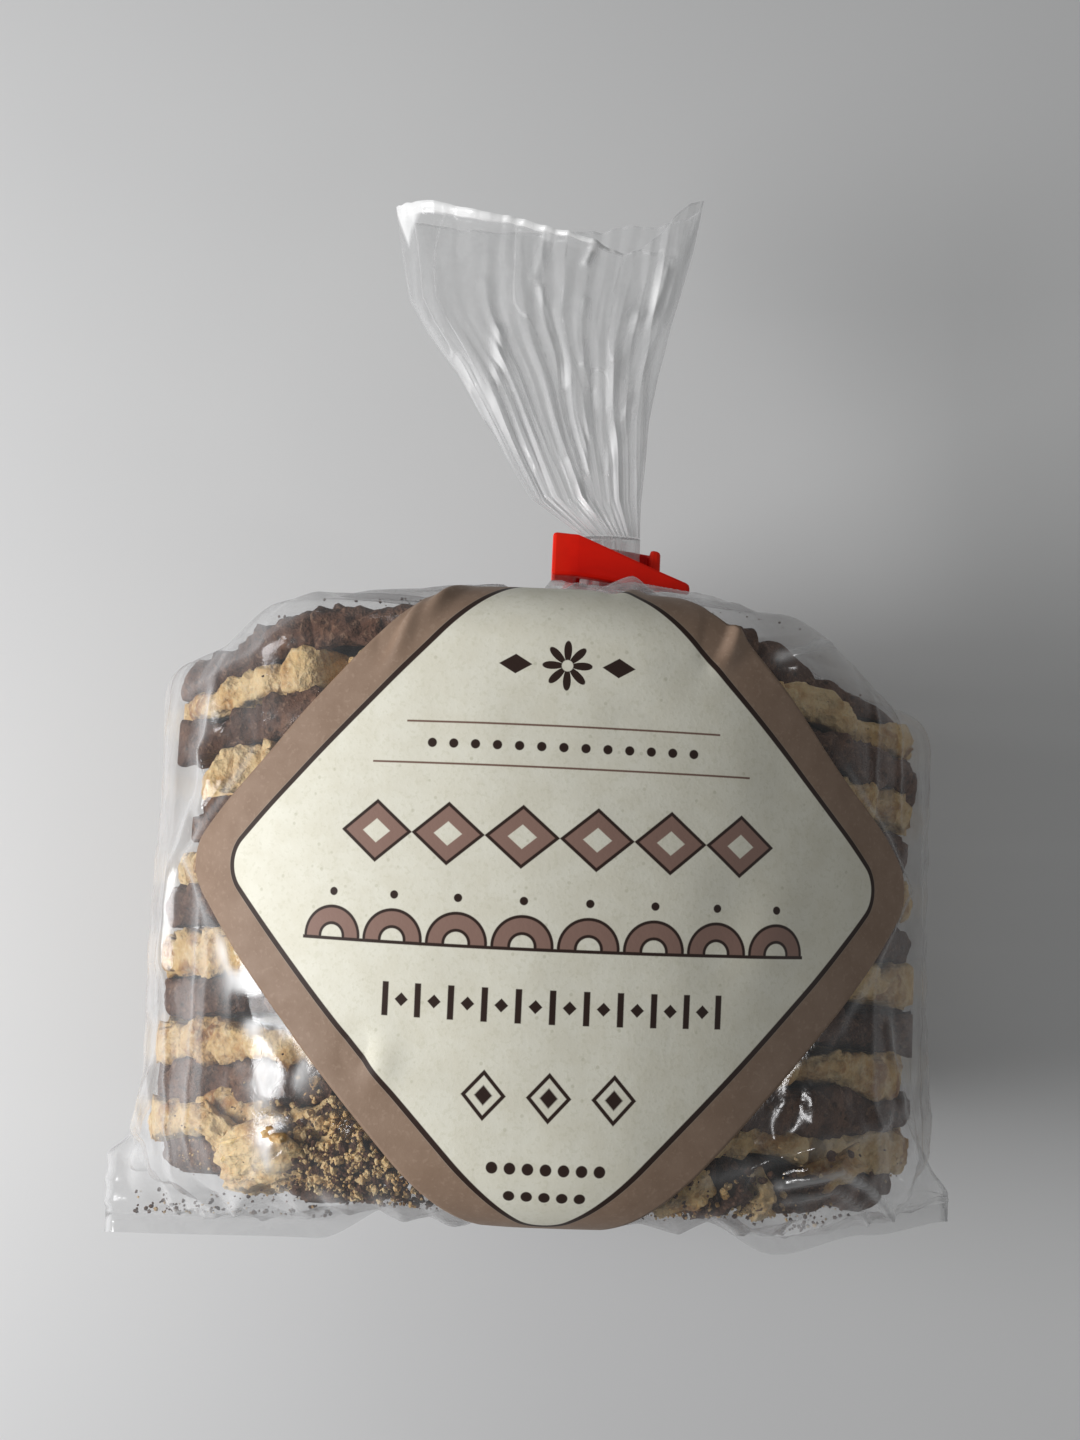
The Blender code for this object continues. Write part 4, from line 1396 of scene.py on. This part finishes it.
class MakeCrumbs(bpy.types.Operator):
    """Scatters the crumbs and broken pieces that have gathered under the film at the seal"""

    bl_idname = "pizzelle.make_crumbs"
    bl_label = "Crumbs"

    # Place across and along the film, depth under it, length and width in millimetres, then the turn
    # on the film and the tilt
    SHARDS = {
        "vanilla": ((-40.5, -42.5, 4, 13, 8, 0.6, 0.45),
                    (-30, -37, 4.3, 9, 5, 1.2, -0.35),
                    (-48, -40, 5.3, 16, 7, 0.1, 0.3),
                    (-40, -36.2, 3, 17, 8, 1.35, 0.2),
                    (-44.5, -47.5, 3.2, 12, 8, 2.1, 0.3),
                    (35, -41.5, 3, 7, 3.5, 1.4, 0.25),
                    (22, -41, 3.5, 9, 5, 0.2, 0.4),
                    (49, -40, 4, 12, 5, -0.2, 0.4)),
        "chocolate": ((-30, -46, 3.5, 13, 8, 0.1, 0.3),
                      (-35, -38, 4, 9, 6, 0.9, 0.3),
                      (-50, -46, 4.5, 13, 7, 0.7, 0.4),
                      (29, -44, 3.5, 9, 5, 0.9, 0.3),
                      (42, -44, 4, 12, 7, -0.3, 0.35)),
    }
    # Count, then place across and along the film, spread both ways, size and depth in millimetres
    GROUPS = {
        "vanilla": ((560, -25, -35.5, 13, 10, 0.95, 1.2),
                    (140, -34, -40, 18, 10, 0.8, 1.5),
                    (150, 26, -41, 14, 9, 0.7, 1),
                    (220, 0, -47, 110, 16, 0.3, 0.6)),
        "chocolate": ((600, -26.5, -38, 13, 12, 0.9, 1.3),
                      (150, 30, -40, 24, 10, 0.8, 1.2),
                      (520, 0, -48, 120, 20, 0.2, 0.6),
                      (150, -34, 44, 50, 22, 0.24, 0.2),
                      (60, 36, 42, 34, 16, 0.22, 0.2)),
    }
    # How many lie in the fold along the seal
    IN_SEAL = {"vanilla": 90, "chocolate": 420}

    def execute(self, context):
        amount = context.scene.pizzelle_crumbs.amount
        for seed, kind in enumerate(("vanilla", "chocolate")):
            rng = np.random.default_rng(40 + seed)
            places, sizes = crumb_places(rng, self.GROUPS[kind], amount)
            more, small = seal_places(rng, int(self.IN_SEAL[kind] * amount))
            loose = crumbs(f"crumbs_{kind}", np.concatenate([places, more]),
                           np.concatenate([sizes, small]), 50 + seed)
            for mesh in (loose, shards(f"shards_{kind}", self.SHARDS[kind], 60 + 7 * seed)):
                set_share(mesh, "rim", np.zeros(len(mesh.vertices)))
                add_piece(mesh, bpy.data.materials[f"{kind}_wafer"], f"{kind}_wafer")
        return {"FINISHED"}


class MakeLabel(bpy.types.Operator):
    """Makes the printed paper label"""

    bl_idname = "pizzelle.make_label"
    bl_label = "Label"

    def execute(self, context):
        sheet = add_piece(label_sheet(), label_material("label_paper"), "label_paper", "label")
        solid = sheet.modifiers.new("thickness", "SOLIDIFY")
        solid.thickness = context.scene.pizzelle_label.thickness
        solid.offset = 1.0
        return {"FINISHED"}


class FinishClip(bpy.types.Operator):
    """Gives the clip its plastic"""

    bl_idname = "pizzelle.finish_clip"
    bl_label = "Clip"

    def execute(self, context):
        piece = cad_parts["clip"]
        material = clip_material("clip_plastic")
        for holder in piece.material_slots:
            holder.material = material
        return {"FINISHED"}


def area_light(name, at, target, size, power, glossy):
    """A soft square light at a place, turned to a target, that shows as a highlight if glossy."""
    data = bpy.data.lights.new(name, "AREA")
    data.shape = "SQUARE"
    data.size = size
    data.energy = power
    lamp = bpy.data.objects.new(name, data)
    lamp.location = at
    lamp.rotation_euler = (Vector(target) - Vector(at)).to_track_quat("-Z", "Y").to_euler()
    lamp.visible_glossy = glossy
    bpy.context.scene.collection.objects.link(lamp)


class SetStage(bpy.types.Operator):
    """Lays the floor and sets the lights and the camera"""

    bl_idname = "pizzelle.set_stage"
    bl_label = "Stage"

    # Name, place, target, size, share of the key light's power, and whether it shows as a highlight
    LIGHTS = (("key", (-0.46, -0.04, 0.35), (0.0, 0.0, 0.09), 0.24, 1.0, False),
              ("window", (-0.44, -0.08, 0.32), (0.0, 0.0, 0.09), 0.20, 0.60, True),
              ("fill", (-0.25, 0.50, 0.45), (0.0, 0.05, 0.06), 0.20, 0.11, True),
              ("lamp", (0.39, -0.08, 0.34), (0.03, -0.02, 0.12), 0.045, 0.06, True))
    FLOOR_HALF = 2.0
    FLOOR_DROP = 0.0002

    def execute(self, context):
        settings = context.scene.pizzelle_stage
        scene = context.scene
        corners = [(x * self.FLOOR_HALF, y * self.FLOOR_HALF, -self.FLOOR_DROP)
                   for x, y in ((-1, -1), (1, -1), (1, 1), (-1, 1))]
        mesh = mesh_from("floor", corners, [np.array([[0, 1, 2, 3]])])
        mesh.materials.append(floor_material("pale_floor"))
        floor = bpy.data.objects.new("floor", mesh)
        scene.collection.objects.link(floor)
        for name, at, target, size, share, glossy in self.LIGHTS:
            area_light(name, at, target, size, settings.key_power * share, glossy)
        world = bpy.data.worlds.new("soft_room")
        world.use_nodes = True
        back = world.node_tree.nodes["Background"]
        back.inputs["Color"].default_value = (0.87, 0.89, 0.89, 1.0)
        back.inputs["Strength"].default_value = settings.sky
        scene.world = world
        data = bpy.data.cameras.new("camera")
        data.lens = CAMERA_LENS
        data.sensor_width = CAMERA_SENSOR
        data.clip_start = 0.01
        camera = bpy.data.objects.new("camera", data)
        rx, ry, rz = (Matrix.Rotation(a, 4, axis) for a, axis in zip(CAMERA_TURN, "XYZ"))
        camera.matrix_world = Matrix.Translation(CAMERA_AT) @ rx @ ry @ rz
        scene.collection.objects.link(camera)
        scene.camera = camera
        scene.view_settings.view_transform = "Standard"
        scene.cycles.transparent_max_bounces = 32
        return {"FINISHED"}


class PizzellePanel(bpy.types.Panel):
    """Lists the pieces of the bag"""

    bl_idname = "VIEW3D_PT_pizzelle"
    bl_label = "Pizzelle Bag"
    bl_space_type = "VIEW_3D"
    bl_region_type = "UI"
    bl_category = "Pizzelle Bag"

    def draw(self, context):
        scene = context.scene
        for operator, settings, names in (
            (MakeWafers, scene.pizzelle_wafers, ("radius", "fine")),
            (MakeCrumbs, scene.pizzelle_crumbs, ("amount",)),
            (MakeFilm, scene.pizzelle_film, ("haze", "crinkle")),
            (MakeLabel, scene.pizzelle_label, ("thickness",)),
            (FinishClip, None, ()),
            (SetStage, scene.pizzelle_stage, ("key_power", "sky")),
        ):
            column = self.layout.column(align=True)
            for name in names:
                column.prop(settings, name)
            column.operator(operator.bl_idname)


SETTINGS = {
    "pizzelle_film": FilmSettings,
    "pizzelle_wafers": WaferSettings,
    "pizzelle_crumbs": CrumbSettings,
    "pizzelle_label": LabelSettings,
    "pizzelle_stage": StageSettings,
}
OPERATORS = (MakeWafers, MakeCrumbs, MakeFilm, MakeLabel, FinishClip, SetStage)


def register():
    for name, group in SETTINGS.items():
        bpy.utils.register_class(group)
        setattr(bpy.types.Scene, name, bpy.props.PointerProperty(type=group))
    for kind in (*OPERATORS, PizzellePanel):
        bpy.utils.register_class(kind)


def unregister():
    for kind in reversed((*OPERATORS, PizzellePanel)):
        bpy.utils.unregister_class(kind)
    for name, group in SETTINGS.items():
        delattr(bpy.types.Scene, name)
        bpy.utils.unregister_class(group)


def main():
    register()
    bpy.ops.pizzelle.make_wafers()
    bpy.ops.pizzelle.make_crumbs()
    bpy.ops.pizzelle.make_film()
    bpy.ops.pizzelle.make_label()
    bpy.ops.pizzelle.finish_clip()
    bpy.ops.pizzelle.set_stage()


if __name__ == "__main__":
    main()
